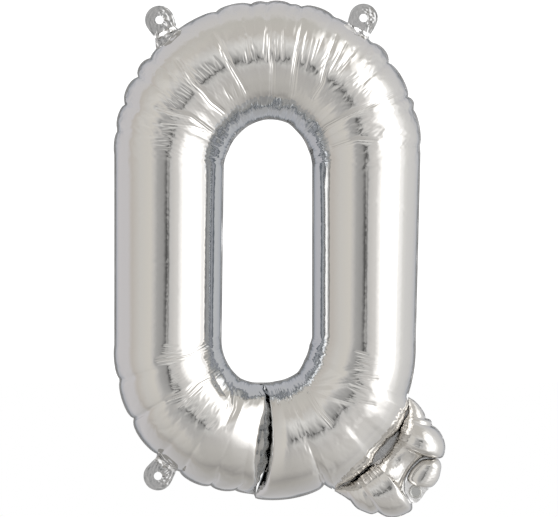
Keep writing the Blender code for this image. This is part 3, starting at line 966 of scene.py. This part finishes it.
# %% [markdown]
# ## Crushed film
# The film is crushed wherever the flat cut has to turn a tight bend: in a band round both ends of the
# counter, and on the lips of every weld that pinches the tube. Short ribs run square to such an edge, and
# the film between them lies in small flat facets that sparkle.

# %% Crushed film
COUNTER_BAND = 11.5 * MM
LEFT_LIP, RIGHT_LIP, TAIL_LIP = 5 * MM, 4 * MM, 7.5 * MM  # widest at the tail's long weld


def ribs_along(length, pitch, wide):
    """Irregular narrow ribs along a line of so many steps, each 1 high."""
    places = np.cumsum(random.uniform(0.5, 1.5, int(length / pitch) + 2)) * pitch
    heights = random.uniform(0.4, 1.0, len(places))
    steps = np.arange(length)[:, None]
    return (heights * np.exp(-(((steps - places) / wide) ** 2))).max(axis=1)


def beside_edge(distance, reach, sharpness=4):
    """1 right beside an edge, dropping to 0 at about this reach from it."""
    return np.exp(-((distance / reach) ** sharpness))


counter_band = beside_edge(from_counter, COUNTER_BAND, 6)
counter_ribs = ribs_along(fine_shape[0], 10, 2.8)[:, None] * counter_band
counter_facets = crumple(fine_shape, (14, 8), 0.35 * MM) * counter_band
detail = is_end * (0.4 * MM * counter_ribs + counter_facets)
lip_facets = crumple(fine_shape, (5, 7), 0.6 * MM)
lip_ribs = ribs_along(FINE_POINTS, 7, 2.0)[None, :]
detail += on_left * beside_edge(to_weld, LEFT_LIP) * (0.9 * MM * lip_ribs + lip_facets)
detail += (1 - on_left) * beside_edge(to_weld, RIGHT_LIP) * (0.4 * MM * lip_ribs + 0.5 * lip_facets)
tail_ribs = ribs_along(fine_shape[0], 5, 1.5)[:, None]
tail_facets = crumple(fine_shape, (7, 9), 0.25 * MM)
detail += beside_tail * beside_edge(from_rim, TAIL_LIP) * (0.32 * MM * tail_ribs + tail_facets)
detail += pucker_rows(plane)
print("Crushed film and puckers up to", round(detail.max() / MM, 2), "mm deep")

# %% [markdown]
# ## Folds and notches
# Each fold of the table becomes one sharp line between two weaker ones. The two big folds at the lower left
# are wide valleys with flat sides, which fade out at both ends. A short crease runs in from every notch. All
# of it fades out on the last 1.5 mm before the welded edge, so that both sheets still meet there.

# %% Folds and notches
FOLD_SHARE = 0.45  # of the table's depth is pressed in here, on top of what the simulation has folded
FOLD_WIDTH = 0.65 * MM
FOLD_SPACING = (1.2, 2.2)  # mm from the sharp line to the weaker one on each side
WIDE_FOLD = 2.0  # mm of half width from which a fold is a valley with flat sides
FOLD_FADE = 8 * MM
NOTCH_TIPS = (1 * MM, -13 * MM)  # from the rim, outwards, to both ends of a notch's crease
NOTCH_DEPTH = 0.5  # of the crease, as a share of how far the notch pulls the rim in
NOTCH_CREASE = 0.8 * MM


def beside(line, distance):
    """The line moved square to its own run."""
    line = np.array(line)
    run = np.gradient(line, axis=0)
    run /= np.linalg.norm(run, axis=1)[:, None] + 1e-12
    return line + np.stack([-run[:, 1], run[:, 0]], axis=1) * distance


sharp = np.zeros(fine_shape)
for corners, deep, wide in FOLDS:
    line = [at_pixel(*corner) for corner in corners]
    one_side, other_side = random.uniform(*FOLD_SPACING), -random.uniform(*FOLD_SPACING)
    for offset, weight in ((0, 1.0), (one_side, 0.6), (other_side, 0.6)):
        moved = beside(line, offset * MM)
        to_start, to_finish = [np.linalg.norm(plane - tip, axis=2) for tip in (moved[0], moved[-1])]
        fade = np.clip(np.minimum(to_start, to_finish) / FOLD_FADE, 0, 1)
        for a, b in zip(moved, moved[1:]):
            away = near_line(plane.reshape(-1, 2), a, b).reshape(fine_shape)
            if wide > WIDE_FOLD:
                near = np.clip(1 - away / (wide * MM), 0, 1) * fade
            else:
                near = np.exp(-away / FOLD_WIDTH)
            sharp = np.maximum(sharp, weight * deep * near)
detail += FOLD_SHARE * MM * sharp
for end, centre in (("top", TOP), ("bottom", BOTTOM)):
    for degrees, pull, _ in NOTCHES[end]:
        if pull > 0:
            tips = [on_end(centre, RIM_RADIUS + out, degrees) for out in NOTCH_TIPS]
            detail += pull * NOTCH_DEPTH * MM * crease(plane, *tips, NOTCH_CREASE)
point_gap = math.pi * TUBE_DEPTH / (FINE_POINTS - 1)
to_edge = point_gap * from_ends(FINE_POINTS)
detail *= np.clip(to_edge / (1.5 * MM), 0, 1)[None, :] * np.clip(to_weld / (1.0 * MM), 0, 1)
bowl -= out_of_sheet(bowl) * detail[:, :, None]
print("Creased sheet, deepest crease", round(detail.max() / MM, 2), "mm")

# %% [markdown]
# ## From one sheet to a closed envelope
# The back sheet is the front one mirrored in the seam plane, and both share their welded edge, so the
# envelope is closed. Film can't pass through film: what the simulation has pushed through the seam plane or
# through the weld's plane is set back to just this side of it.

# %% Envelope helper
SEAM_SLACK = 0.1 * MM


def smooth_object(name, mesh, material):
    """An object of the mesh in one material, shaded smooth."""
    made = bpy.data.objects.new(name, mesh)
    bpy.context.scene.collection.objects.link(made)
    mesh.materials.clear()
    mesh.materials.append(material)
    bpy.ops.object.select_all(action="DESELECT")
    made.select_set(True)
    bpy.context.view_layer.objects.active = made
    bpy.ops.object.shade_smooth()
    return made


def envelope(name, sheet, material, levels=0):
    """A closed pillow of a front sheet and its mirror image, subdivided if levels are given."""
    row_count, point_count, _ = sheet.shape
    fixed = border((row_count, point_count))
    front = sheet.copy()
    front[:, :, 1] = np.where(fixed, 0.0, np.minimum(front[:, :, 1], -SEAM_SLACK))
    flat = front.reshape(-1, 3)
    back_index = np.arange(len(flat))
    free = ~fixed.ravel()
    back_index[free] = len(flat) + np.arange(free.sum())
    places = np.concatenate([flat, flat[free] * (1, -1, 1)])
    faces = grid_faces(row_count, point_count)
    faces += [tuple(int(back_index[i]) for i in reversed(face)) for face in faces]
    mesh = bpy.data.meshes.new(name)
    mesh.from_pydata(places.tolist(), [], faces)
    made = smooth_object(name, mesh, material)
    if levels:
        rounding = made.modifiers.new("rounding", "SUBSURF")
        rounding.levels = rounding.render_levels = levels
        bpy.ops.object.modifier_apply(modifier=rounding.name)
    return made


def wander(length, size, smooth):
    """Smooth random values along a line."""
    rough = random.normal(0, 1, length + 2 * smooth)
    window = np.hanning(smooth * 2 + 1)
    return size * np.convolve(rough, window / np.sqrt((window**2).sum()), "valid")[:length]


def mesh_volume(obj):
    """Signed volume: above zero when the faces point out."""
    shape = bmesh.new()
    shape.from_mesh(obj.data)
    volume = shape.calc_volume(signed=True)
    shape.free()
    return volume


# %% [markdown]
# ## The slit at the foot
# The two chambers swell over the weld between them, and the left one, which is fuller, pushes the slit over
# to the right. Near the weld everything that stands out of the seam plane is therefore moved sideways.

# %% Slit at the foot
LEAN_REACH = 22 * MM
LEAN = {
    # share of the tube's depth above the seam, mm to the right
    "left": ((0, 0), (0.45, 8.6), (0.6, 6.4), (0.7, 4.0), (1, 3.0)),
    "right": ((0, 0), (0.45, 8.6), (0.6, 7.0), (1, 6.0)),
}
TOUCH = ((0, 0), (0.45, 2.4), (0.6, 1.5), (0.8, 0.3))  # what brings the left chamber up to the right one
NEAR_WELD = 240  # fine rows on each side of the weld that could reach through its plane
weld_outer, weld_inner = bowl_edges(("bottom", WELD_ANGLE), FILM_OUTER, FILM_INNER, False)
weld_length = np.linalg.norm(weld_inner - weld_outer)
weld_run = (weld_inner - weld_outer) / weld_length
weld_side = np.array([weld_run[1], -weld_run[0]])  # to the right
for near_rows, side in ((slice(1, NEAR_WELD), -1), (slice(-NEAR_WELD, -1), 1)):
    to_right = (bowl[near_rows][:, :, [0, 2]] - weld_outer) @ weld_side
    past = np.maximum(SEAM_SLACK - side * to_right, 0)
    bowl[near_rows, :, 0] += side * past * weld_side[0]
    bowl[near_rows, :, 2] += side * past * weld_side[1]
up_weld = np.clip((bowl[:, :, [0, 2]] - weld_outer) @ weld_run / weld_length, 0, 1)
risen = np.clip(-bowl[:, :, 1] / TUBE_DEPTH, 0, 1)
left_lean, right_lean = [np.interp(risen, *zip(*LEAN[side])) for side in ("left", "right")]
lean = np.where(on_left > 0.5, left_lean, right_lean) * MM
lean *= np.sin(np.pi * up_weld) ** 0.8
touch = np.where(on_left > 0.5, np.interp(risen, *zip(*TOUCH)), 0) * MM
lean += touch * np.clip(4 * np.sin(np.pi * up_weld), 0, 1)
lean *= np.exp(-((to_weld / LEAN_REACH) ** 2))
bowl[:, :, 0] += lean * weld_side[0]
bowl[:, :, 2] += lean * weld_side[1]
print("Slit pushed over by up to", round(lean.max() / MM, 1), "mm")

# %% [markdown]
# ## Bowl envelope
# The closed piece is padded film with air inside. Where its film is crushed, the faces take the crushed
# film's finish, whose darker, bluer colour is painted shade: a band with a ragged border round the counter,
# and the left lip of the weld.

# %% Bowl envelope
bowl_envelope = envelope("bowl_envelope", bowl, film)
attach(bowl_envelope, "root")
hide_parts("bowl_front_film", "bowl_back_film")
# width of the band of painted shade round the counter, darker and bluer film, for each part of the bowl
PAINTED_SHADE_BAND = {"top": 12.4 * MM, "left": 11.8 * MM, "right": 7.6 * MM, "bottom": 9.5 * MM}
RAGGED = 0.5 * MM
painted_shade_width = finer(blurred(np.array([[PAINTED_SHADE_BAND[part]] for part, _ in rows]), 4, 0)[:, 0], ROW_SPLIT, 0)
painted_shade_width += wander(fine_shape[0], RAGGED, 5) * is_end[:, 0]
# faces painted darker and bluer as painted shade: the band round the counter and the weld's left lip
crushed = (from_counter < painted_shade_width[:, None]) | ((to_weld < LEFT_LIP) & (on_left > 0.5))
painted_shade_faces = crushed[:-1, :-1].ravel().astype(np.int32)
bowl_envelope.data.materials.append(crushed_film_painted_shade)
bowl_envelope.data.polygons.foreach_set("material_index", np.tile(painted_shade_faces, 2))
print("Bowl:", len(bowl_envelope.data.polygons), "faces,", round(mesh_volume(bowl_envelope) * 1e6), "ml")

# %% [markdown]
# ## Rims
# Outside the last line of air, the two sheets are one flat welded edge about a millimetre wide. Seen from
# the front it is the thin grey line round the letter. A grid is added, its corners are set along the edge of
# the envelope, a slight waver is put into the free side, and Solidify gives it the two films' thickness.

# %% Rim helper
RIM_THICK = 0.35 * MM
STRIP_SPLIT = 3  # faces across a strip


def finish_piece(obj, slot, *nodes):
    """Rides on the balloon and stands for its CAD nodes; the slot is not used."""
    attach(obj, "root")
    if nodes:
        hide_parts(*nodes)
    print(obj.name + ":", len(obj.data.polygons), "faces")


def thicken(obj, sharp_from, *materials):
    """Gives a flat piece two films' thickness and its materials, smooth up to an angle in degrees."""
    wall = obj.modifiers.new("two_films", "SOLIDIFY")
    wall.thickness = RIM_THICK
    wall.offset = 0.0
    bpy.ops.object.modifier_apply(modifier=wall.name)
    for material in materials:
        obj.data.materials.append(material)
    bpy.ops.object.mode_set(mode="EDIT")
    bpy.ops.mesh.select_all(action="SELECT")
    bpy.ops.mesh.normals_make_consistent(inside=False)
    bpy.ops.object.mode_set(mode="OBJECT")
    bpy.ops.object.shade_smooth_by_angle(angle=math.radians(sharp_from))


def strip(name, inside, outside, waver, material):
    """A thin flat strip between two lines of (X, Z) points; waver moves its outer side in Y."""
    columns = len(inside)
    bpy.ops.object.select_all(action="DESELECT")
    bpy.ops.mesh.primitive_grid_add(x_subdivisions=columns - 1, y_subdivisions=STRIP_SPLIT, size=1)
    made = bpy.context.object
    made.name = name
    inside, outside = np.array(inside), np.array(outside)
    share = np.linspace(0, 1, STRIP_SPLIT + 1)[:, None, None]
    flat = inside[None] * (1 - share) + outside[None] * share
    out_of_plane = share[:, :, 0] * np.asarray(waver)[None]
    places = np.stack([flat[:, :, 0], out_of_plane * np.ones((1, columns)), flat[:, :, 1]], axis=2)
    made.data.vertices.foreach_set("co", places.astype(np.float32).ravel())
    made.data.update()
    thicken(made, 40, material)
    return made


# %% [markdown]
# ## Rims of the bowl
# Three strips lie in the seam plane: the rim round the outside, which leaves out the stretch that the tail's
# weld takes up, the weld across the foot, and the closed ring round the counter.

# %% Bowl rims
TAIL_FROM, TAIL_TO = 20.1, 65.9  # the tail's weld takes over from the bowl's rim between these angles
RIM_UNDER = 0.7 * MM  # how far the rim runs in under the film
COUNTER_UNDER = 0.1 * MM
WELD_POINTS = 60
after_tail = [row for row in rows if row[0] == "bottom" and TAIL_TO <= row[1] < WELD_ANGLE]
before_tail = [row for row in rows if row[0] != "bottom" or row[1] >= WELD_ANGLE or row[1] <= TAIL_FROM]
seam_rows = after_tail + before_tail
bowl_rim = strip(
    "bowl_rim",
    outer_line(seam_rows, FILM_OUTER - RIM_UNDER),
    outer_line(seam_rows, RIM_RADIUS),
    wander(len(seam_rows), 0.25 * MM, 4),
    weld_film,
)
finish_piece(bowl_rim, "welded_film", "outer_seam")

weld_sides = []
for degrees in (WELD_ANGLE + WELD_SPLIT, WELD_ANGLE - WELD_SPLIT):
    outer, inner = bowl_edges(("bottom", degrees), RIM_RADIUS, FILM_INNER - COUNTER_RIM, True)
    weld_sides.append([outer + (inner - outer) * share for share in np.linspace(0, 1, WELD_POINTS)])
bowl_weld_strip = strip("bowl_weld_strip", *weld_sides, wander(WELD_POINTS, 0.1 * MM, 3), weld_film)
finish_piece(bowl_weld_strip, "welded_film", "bowl_weld")

ring_rows = rows[::2] + rows[:1]
ring_waver = wander(len(ring_rows), 0.15 * MM, 4)
ring_waver[-1] = ring_waver[0]
counter_rim = strip(
    "counter_rim",
    counter_line(ring_rows, FILM_INNER + COUNTER_UNDER),
    counter_line(ring_rows, FILM_INNER - COUNTER_RIM),
    ring_waver,
    weld_film,
)
finish_piece(counter_rim, "welded_film", "counter_seam")

# %% [markdown]
# ## Outline of the tail
# The tail is a small pillow of its own outside the weld at the bowl's foot. Its edge is a chain of lobes
# that meet in notches, so each lobe is a smooth curve through a few places and the notches stay sharp.

# %% Tail outline
TAIL_LOBES = (
    ((408, 398), (413, 401), (419, 407), (423, 413), (425, 419)),
    ((425, 419), (430, 421), (431, 426)),
    ((431, 426), (436, 429), (440, 434), (443.5, 442), (444, 450), (442, 456), (434, 458)),
)
POUCH_CREASE = (
    (434, 458), (424, 457), (415, 463), (408, 472), (404, 482), (404, 490), (407, 497), (411, 503),
)
FOOT_LOBES = (
    ((411, 503), (411, 509), (405, 513), (395, 516), (385, 515), (378, 511)),
    ((378, 511), (372, 513), (365, 511), (357, 507), (351, 500)),
    ((351, 500), (345, 496), (335, 490)),
)
TAIL_WELD = (
    (408, 401), (408, 411), (402.5, 422.3), (398.2, 431.5), (392.3, 444.5), (382.3, 456.7),
    (370.5, 465.3), (362.2, 472.3), (352, 480.3), (344, 484.7), (335, 490),
)


def through(corners, step=1.0 * MM):
    """A smooth curve through the corners, as places about one step apart."""
    knots = [at_pixel(*corner) for corner in corners]
    knots = [2 * knots[0] - knots[1], *knots, 2 * knots[-1] - knots[-2]]
    places = []
    for a, b, c, d in zip(knots, knots[1:], knots[2:], knots[3:]):
        length = np.linalg.norm(c - b)
        before, after = np.linalg.norm(b - a), np.linalg.norm(d - c)
        slope_b = ((b - a) / before * length + (c - b) / length * before) / (before + length) * length
        slope_c = ((c - b) / length * after + (d - c) / after * length) / (after + length) * length
        for t in np.arange(0, 1, min(step / length, 0.5)):
            rise = (3 - 2 * t) * t**2
            bends = slope_b * t * (1 - t) ** 2 - slope_c * t**2 * (1 - t)
            places.append(b + (c - b) * rise + bends)
    return [*places, knots[-2]]


def even(places, number):
    """The same line as a number of places at equal distances."""
    places = np.array(places)
    lengths = np.concatenate([[0], np.cumsum(np.linalg.norm(np.diff(places, axis=0), axis=1))])
    wanted = np.linspace(0, lengths[-1], number)
    return np.stack([np.interp(wanted, lengths, places[:, i]) for i in (0, 1)], axis=1)


def chain(lobes):
    """Curves of several lobes joined end to end."""
    places = []
    for lobe in lobes:
        places += through(lobe)[:-1]
    return [*places, at_pixel(*lobes[-1][-1])]


tail_edge = chain((*TAIL_LOBES, POUCH_CREASE, *FOOT_LOBES))
tail_weld_line = through(TAIL_WELD)
print("Tail edge of", len(tail_edge), "places")

# %% [markdown]
# ## Tail envelope
# The tail is blown up in the same way. Its cut is a few percent larger all over than the drawn-in outline,
# so that folds run in from every edge.

# %% Pillow helper
SPARE_IN_TAIL = 0.035
PILLOW_KEPT = 0.2  # share of the simulated folding
PILLOW_SHOULDER = 0.35  # share of its length over which a pillow's end rises to full depth


def pillow(name, outside, inside, row_count, point_count, depth, frames):
    """The folded front sheet of a small pillow between two lines of (X, Z) points."""
    outside, inside = even(outside, row_count), even(inside, row_count)
    angle = np.pi * np.arange(point_count) / (point_count - 1)
    share = (1 - np.cos(angle)) / 2
    shape = np.zeros((row_count, point_count, 3))
    flat = outside[:, None] * (1 - share[None, :, None]) + inside[:, None] * share[None, :, None]
    shape[:, :, [0, 2]] = flat
    along = np.arange(row_count) / (row_count - 1)
    ends = np.array([shoulder(min(a, 1 - a) / PILLOW_SHOULDER) for a in along])
    width = np.linalg.norm(outside - inside, axis=1)
    deep = np.minimum(depth * ends, width * 0.5)
    shape[:, :, 1] = -deep[:, None] * np.sin(angle)[None]
    fixed = border((row_count, point_count))
    start = shape.copy()
    centre = start.reshape(-1, 3).mean(axis=0) * (1, 0, 1)
    start = centre + (start - centre) * (1 + SPARE_IN_TAIL)
    start[:, :, 1] -= np.where(fixed, 0, random.normal(0, 0.15 * MM, fixed.shape))
    folded = blow_up(name, start, shape, frames, pull_frames=10, pressure=8.0, bend=0.01)
    folded = hold_shape(folded, shape, share=0.9, row_reach=6, point_reach=5)
    return shape + PILLOW_KEPT * (folded - shape)


# %% [markdown]
# ## Crushed lip of the tail
# The tail's film is crushed beside the weld as well, so the same ribs and facets are pressed into it there.

# %% Tail envelope
TAIL_DEPTH = -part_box("tail_front_film")[0].y
TAIL_CRUSH = 0.35 * MM
tail_sheet = finer_sheet(pillow("tail_sheet", tail_edge, tail_weld_line, 120, 41, TAIL_DEPTH, 24))
tail_shape = tail_sheet.shape[:2]
across_tail = (1 + np.cos(np.linspace(0, math.pi, tail_shape[1])))[None, :] / 2  # 0 at the weld
tail_crush = TAIL_CRUSH * ribs_along(tail_shape[0], 8, 2.4)[:, None]
tail_crush = tail_crush + crumple(tail_shape, (12, 9), TAIL_CRUSH)
tail_crush *= beside_edge(across_tail, 0.16) * np.clip(across_tail / 0.01, 0, 1)
tail_crush *= np.clip(from_ends(tail_shape[0])[:, None] / 8, 0, 1)
tail_sheet -= out_of_sheet(tail_sheet) * tail_crush[:, :, None]
tail_envelope = envelope("tail_envelope", tail_sheet, film)
finish_piece(tail_envelope, "film", "tail_front_film", "tail_back_film")

# %% [markdown]
# ## Rims of the tail
# One narrow strip follows the tail's lobes and the crease beside the valve pouch. The weld between the bowl
# and the tail is the broad strip between the bowl's edge and the tail's.

# %% Tail rims
TAIL_MIDDLE = at_pixel(385, 470)
EDGE_POINTS, CREASE_POINTS, TAIL_WELD_POINTS = 120, 60, 90
RIM_IN, RIM_OUT = 0.1 * MM, 0.8 * MM  # from the line of the film's edge
TAIL_WELD_UNDER = 0.5 * MM  # how far the weld's strip runs in under the bowl's film
upper, lower = [even(chain(lobes), EDGE_POINTS) for lobes in (TAIL_LOBES, FOOT_LOBES)]
halfway = EDGE_POINTS // 2
moved_out = beside(upper, 1 * MM)[halfway] - upper[halfway]
outer_side = 1 if moved_out @ (upper[halfway] - TAIL_MIDDLE) > 0 else -1
whole = np.concatenate([upper, even(through(POUCH_CREASE), CREASE_POINTS)[1:-1], lower])
tail_rim = strip(
    "tail_rim",
    beside(whole, -RIM_IN * outer_side),
    beside(whole, RIM_OUT * outer_side),
    wander(len(whole), 0.2 * MM, 3),
    weld_film,
)
finish_piece(tail_rim, "welded_film", "tail_seam", "valve_weld")

tail_rows = [("bottom", a) for a in np.linspace(TAIL_FROM, TAIL_TO, TAIL_WELD_POINTS)]
tail_weld_strip = strip(
    "tail_weld_strip",
    outer_line(tail_rows, FILM_OUTER - TAIL_WELD_UNDER),
    even(tail_weld_line, TAIL_WELD_POINTS),
    wander(TAIL_WELD_POINTS, 0.1 * MM, 3),
    weld_film,
)
finish_piece(tail_weld_strip, "welded_film", "tail_weld")

# %% [markdown]
# ## Valve pouch
# Air goes in through a flat valve that ends in a small lobe at the tail's outer corner. The lobe is a third
# pillow, and below it the film stays flat round the inlet.

# %% Valve pouch
POUCH_OUTSIDE = ((434, 458), (438, 459), (441, 464), (440.5, 472), (438, 480), (432, 486.5), (425, 488))
POUCH_INSIDE = ((433, 459), (424, 458.5), (416, 464), (409.5, 472), (407, 480), (410, 484), (417, 485.5))
POUCH_DEPTH = -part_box("valve_pouch_front_film")[0].y
pouch_sheet = pillow("pouch_sheet", through(POUCH_OUTSIDE), through(POUCH_INSIDE), 60, 25, POUCH_DEPTH, 20)
valve_pouch = envelope("valve_pouch", pouch_sheet, film, levels=1)
finish_piece(valve_pouch, "film", "valve_pouch_front_film", "valve_pouch_back_film")

# %% [markdown]
# ## Flap at the inlet
# Below the pouch the two films lie flat on each other. The flap leans back a little, so it mirrors a plain,
# even part of the tent, as in the picture.

# %% Flap at the inlet
FLAP_OUTSIDE = ((429, 489), (426, 492), (421, 499), (416, 503), (411, 503))
FLAP_INSIDE = ((408, 478), (405, 484), (405, 490), (407, 497), (410.5, 502.5))
FLAP_POINTS = 40
FLAP_TILT = 1.3 * MM  # its free edge lies this much further back
valve_flap = strip(
    "valve_flap",
    even(through(FLAP_INSIDE), FLAP_POINTS),
    even(through(FLAP_OUTSIDE), FLAP_POINTS),
    wander(FLAP_POINTS, 0.12 * MM, 5) + FLAP_TILT,
    press_film,
)
finish_piece(valve_flap, "welded_film", "valve_tab")

# %% [markdown]
# ## Hanging tabs
# Each tab is a tongue of the two films, left on outside the outline and punched with a hole. It is added as
# the ring of the hole, which is extruded outwards step by step and then set to the tongue's outline. A press
# line crosses its neck, and below that line the film is drawn into small gathers by the fold it hangs from.

# %% Tab sizes
TABS = (
    # node, place of the hole, lean of the neck from straight down in degrees, which end of the bowl
    ("tab_top_left", (159.5, 20), 27.0, TOP),
    ("tab_top_right", (363.5, 18), -23.0, TOP),
    ("tab_bottom_left", (158, 476), 145.0, BOTTOM),
)
HOLE = 3.0 * MM
HEAD = 10.4 * MM
ROOT_HALF = 11.8 * MM
WAIST_HALF = 8.6 * MM
WAIST = 10.5 * MM  # from the hole's middle
ROOT = 17.5 * MM
ROOT_UNDER = 2.2 * MM  # how far the tab runs in under the bowl's rim
TAB_POINTS = 96
TAB_RINGS = 22
PRESS_LINE = 11.5 * MM  # from the hole's middle
PRESS_WIDTH = 2.6 * MM
PRESS_DEPTH, PRESS_SOFT = 0.5 * MM, 0.5 * MM
GATHER_DEPTH, GATHER_PITCH = 0.5 * MM, 0.55 * MM  # a pitch here is a wave's length over two pi
GATHER_UNEVEN, GATHER_CHANGE = 1.7, 1.9 * MM
TAB_TILT = 0.1
PRESS_TILT, PRESS_STEP = 0.36, 7 * MM  # the pressed strip is cocked in short steps
REACH_STEPS = np.linspace(HOLE, 2 * ROOT, 160)


def tongue_reach(hole, direction, down, centre):
    """From the hole's middle to the tab's edge in one direction."""
    spots = hole + direction * REACH_STEPS[:, None]
    drop = (spots - hole) @ down
    side = np.abs((spots - hole) @ np.array([down[1], -down[0]]))
    half = np.interp(drop, (0, 0.4 * WAIST, WAIST, ROOT), (HEAD, 0.95 * HEAD, WAIST_HALF, ROOT_HALF))
    half = np.where(drop < 0, np.sqrt(np.clip(HEAD**2 - drop**2, 0, None)), half)
    on_film = np.linalg.norm(spots - np.array([0.0, centre]), axis=1) < RIM_RADIUS - ROOT_UNDER
    outside = np.nonzero((side > half) | on_film)[0]
    return REACH_STEPS[outside[0]]


def between_limits(value, low=0.0, high=1.0):
    """The value, kept between two limits."""
    return min(max(value, low), high)


def tab_lift(spot, down, crushed):
    """How far a place of a tab lies out of the seam plane: tilt, press line, gathers and crumples."""
    drop, side = spot @ down, spot[0] * down[1] - spot[1] * down[0]
    press = PRESS_DEPTH * math.exp(-(((drop - PRESS_LINE) / PRESS_SOFT) ** 2))
    below = between_limits((drop - PRESS_LINE - 1.0 * MM) / (2 * MM))
    phase = side / GATHER_PITCH + GATHER_UNEVEN * math.sin(side / GATHER_CHANGE)
    gathers = GATHER_DEPTH * math.sin(phase) * below
    right_half = between_limits(spot[0] / (5 * MM) + 0.35, low=0.12)
    lift = TAB_TILT * spot[0] - press + gathers + crushed * max(right_half, below)
    if abs(drop - PRESS_LINE + 0.6 * PRESS_WIDTH) < 0.6 * PRESS_WIDTH:
        lift += PRESS_TILT * ((spot[0] / PRESS_STEP) % 1 - 0.5) * PRESS_STEP
    return lift * between_limits((ROOT + 1 * MM - drop) / (4 * MM))  # flat again where the bowl begins


print("Tabs of", round(2 * HEAD / MM, 1), "mm round holes of", round(2 * HOLE / MM, 1), "mm")

# %% [markdown]
# ## Making the tabs
# The circle's points are first spread over rings of equal steps, and each point then goes to its share of
# the way from the hole to the tab's edge. The pressed strip on the neck has a finish of its own.

# %% Hanging tabs
for name, hole_pixel, lean, centre in TABS:
    hole = at_pixel(*hole_pixel)
    down = np.array([math.sin(math.radians(lean)), -math.cos(math.radians(lean))])
    bpy.ops.object.select_all(action="DESELECT")
    bpy.ops.mesh.primitive_circle_add(vertices=TAB_POINTS, radius=1.0)
    tab = bpy.context.object
    tab.name = name + "_film"
    bpy.ops.object.mode_set(mode="EDIT")
    bpy.ops.mesh.select_all(action="SELECT")
    for ring in range(TAB_RINGS):
        bpy.ops.mesh.extrude_region_move()
        bpy.ops.transform.resize(value=[(ring + 2) / (ring + 1)] * 3)
    bpy.ops.object.mode_set(mode="OBJECT")
    crush = crumple((TAB_RINGS + 1, TAB_POINTS), (3, 4), 0.34 * MM)
    for vertex in tab.data.vertices:
        radius = math.hypot(vertex.co.x, vertex.co.y)
        direction = np.array([vertex.co.x, vertex.co.y]) / radius
        share = (radius - 1) / TAB_RINGS
        turn = math.atan2(direction[1], direction[0]) / (2 * math.pi) % 1
        reach = HOLE + (tongue_reach(hole, direction, down, centre) - HOLE) * share
        spot = direction * reach
        crushed = crush[round(share * TAB_RINGS), round(turn * TAB_POINTS) % TAB_POINTS]
        lift = tab_lift(spot, down, crushed)
        vertex.co = (hole[0] + spot[0], lift, hole[1] + spot[1])
    thicken(tab, 50, tab_film, press_film)
    for face in tab.data.polygons:
        off_hole = np.array([face.center.x, face.center.z]) - hole
        if abs(off_hole @ down - PRESS_LINE + 0.6 * PRESS_WIDTH) < PRESS_WIDTH / 2:
            face.material_index = 1
    finish_piece(tab, "tab_film", name)

# %% [markdown]
# ## Valve inlet
# Where the straw goes in, the film is pressed to a small round dish with a raised ring. A torus and a flat
# cylinder behind it are joined; they go through the film, so the ring shows on both sides.

# %% Valve inlet
inlet_low, inlet_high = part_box("valve_inlet")
INLET_SHIFT = (2.3 * MM, 0.7 * MM)  # to where the picture shows it, from its place in the frame
INLET_RADIUS = (inlet_high.x - inlet_low.x) / 2
INLET_BEAD = 0.7 * MM
INLET_DEPTH = 3.4 * MM
inlet_x = (inlet_low.x + inlet_high.x) / 2 + INLET_SHIFT[0]
inlet_z = (inlet_low.z + inlet_high.z) / 2 + INLET_SHIFT[1]
print("Valve inlet of radius", round(INLET_RADIUS / MM, 2), "mm")
facing = (math.pi / 2, 0, 0)
bpy.ops.object.select_all(action="DESELECT")
inlet_parts = []
for side in (-1, 1):
    bpy.ops.mesh.primitive_torus_add(
        major_radius=INLET_RADIUS + INLET_BEAD / 2,
        minor_radius=INLET_BEAD,
        major_segments=48,
        minor_segments=12,
        location=(inlet_x, side * INLET_DEPTH / 2, inlet_z),
        rotation=facing,
    )
    inlet_parts.append(bpy.context.object)
bpy.ops.mesh.primitive_cylinder_add(
    vertices=48,
    radius=INLET_RADIUS + INLET_BEAD / 2,
    depth=INLET_DEPTH,
    location=(inlet_x, 0, inlet_z),
    rotation=facing,
)
inlet_ring = bpy.context.object
for part in inlet_parts:
    part.select_set(True)
bpy.ops.object.join()
bpy.ops.object.transform_apply(location=True, rotation=True, scale=True)
inlet_ring.name = "inlet_ring"
bpy.ops.object.shade_smooth_by_angle(angle=math.radians(40))
inlet_ring.data.materials.clear()
inlet_ring.data.materials.append(inlet_film)
finish_piece(inlet_ring, "inlet", "valve_inlet")
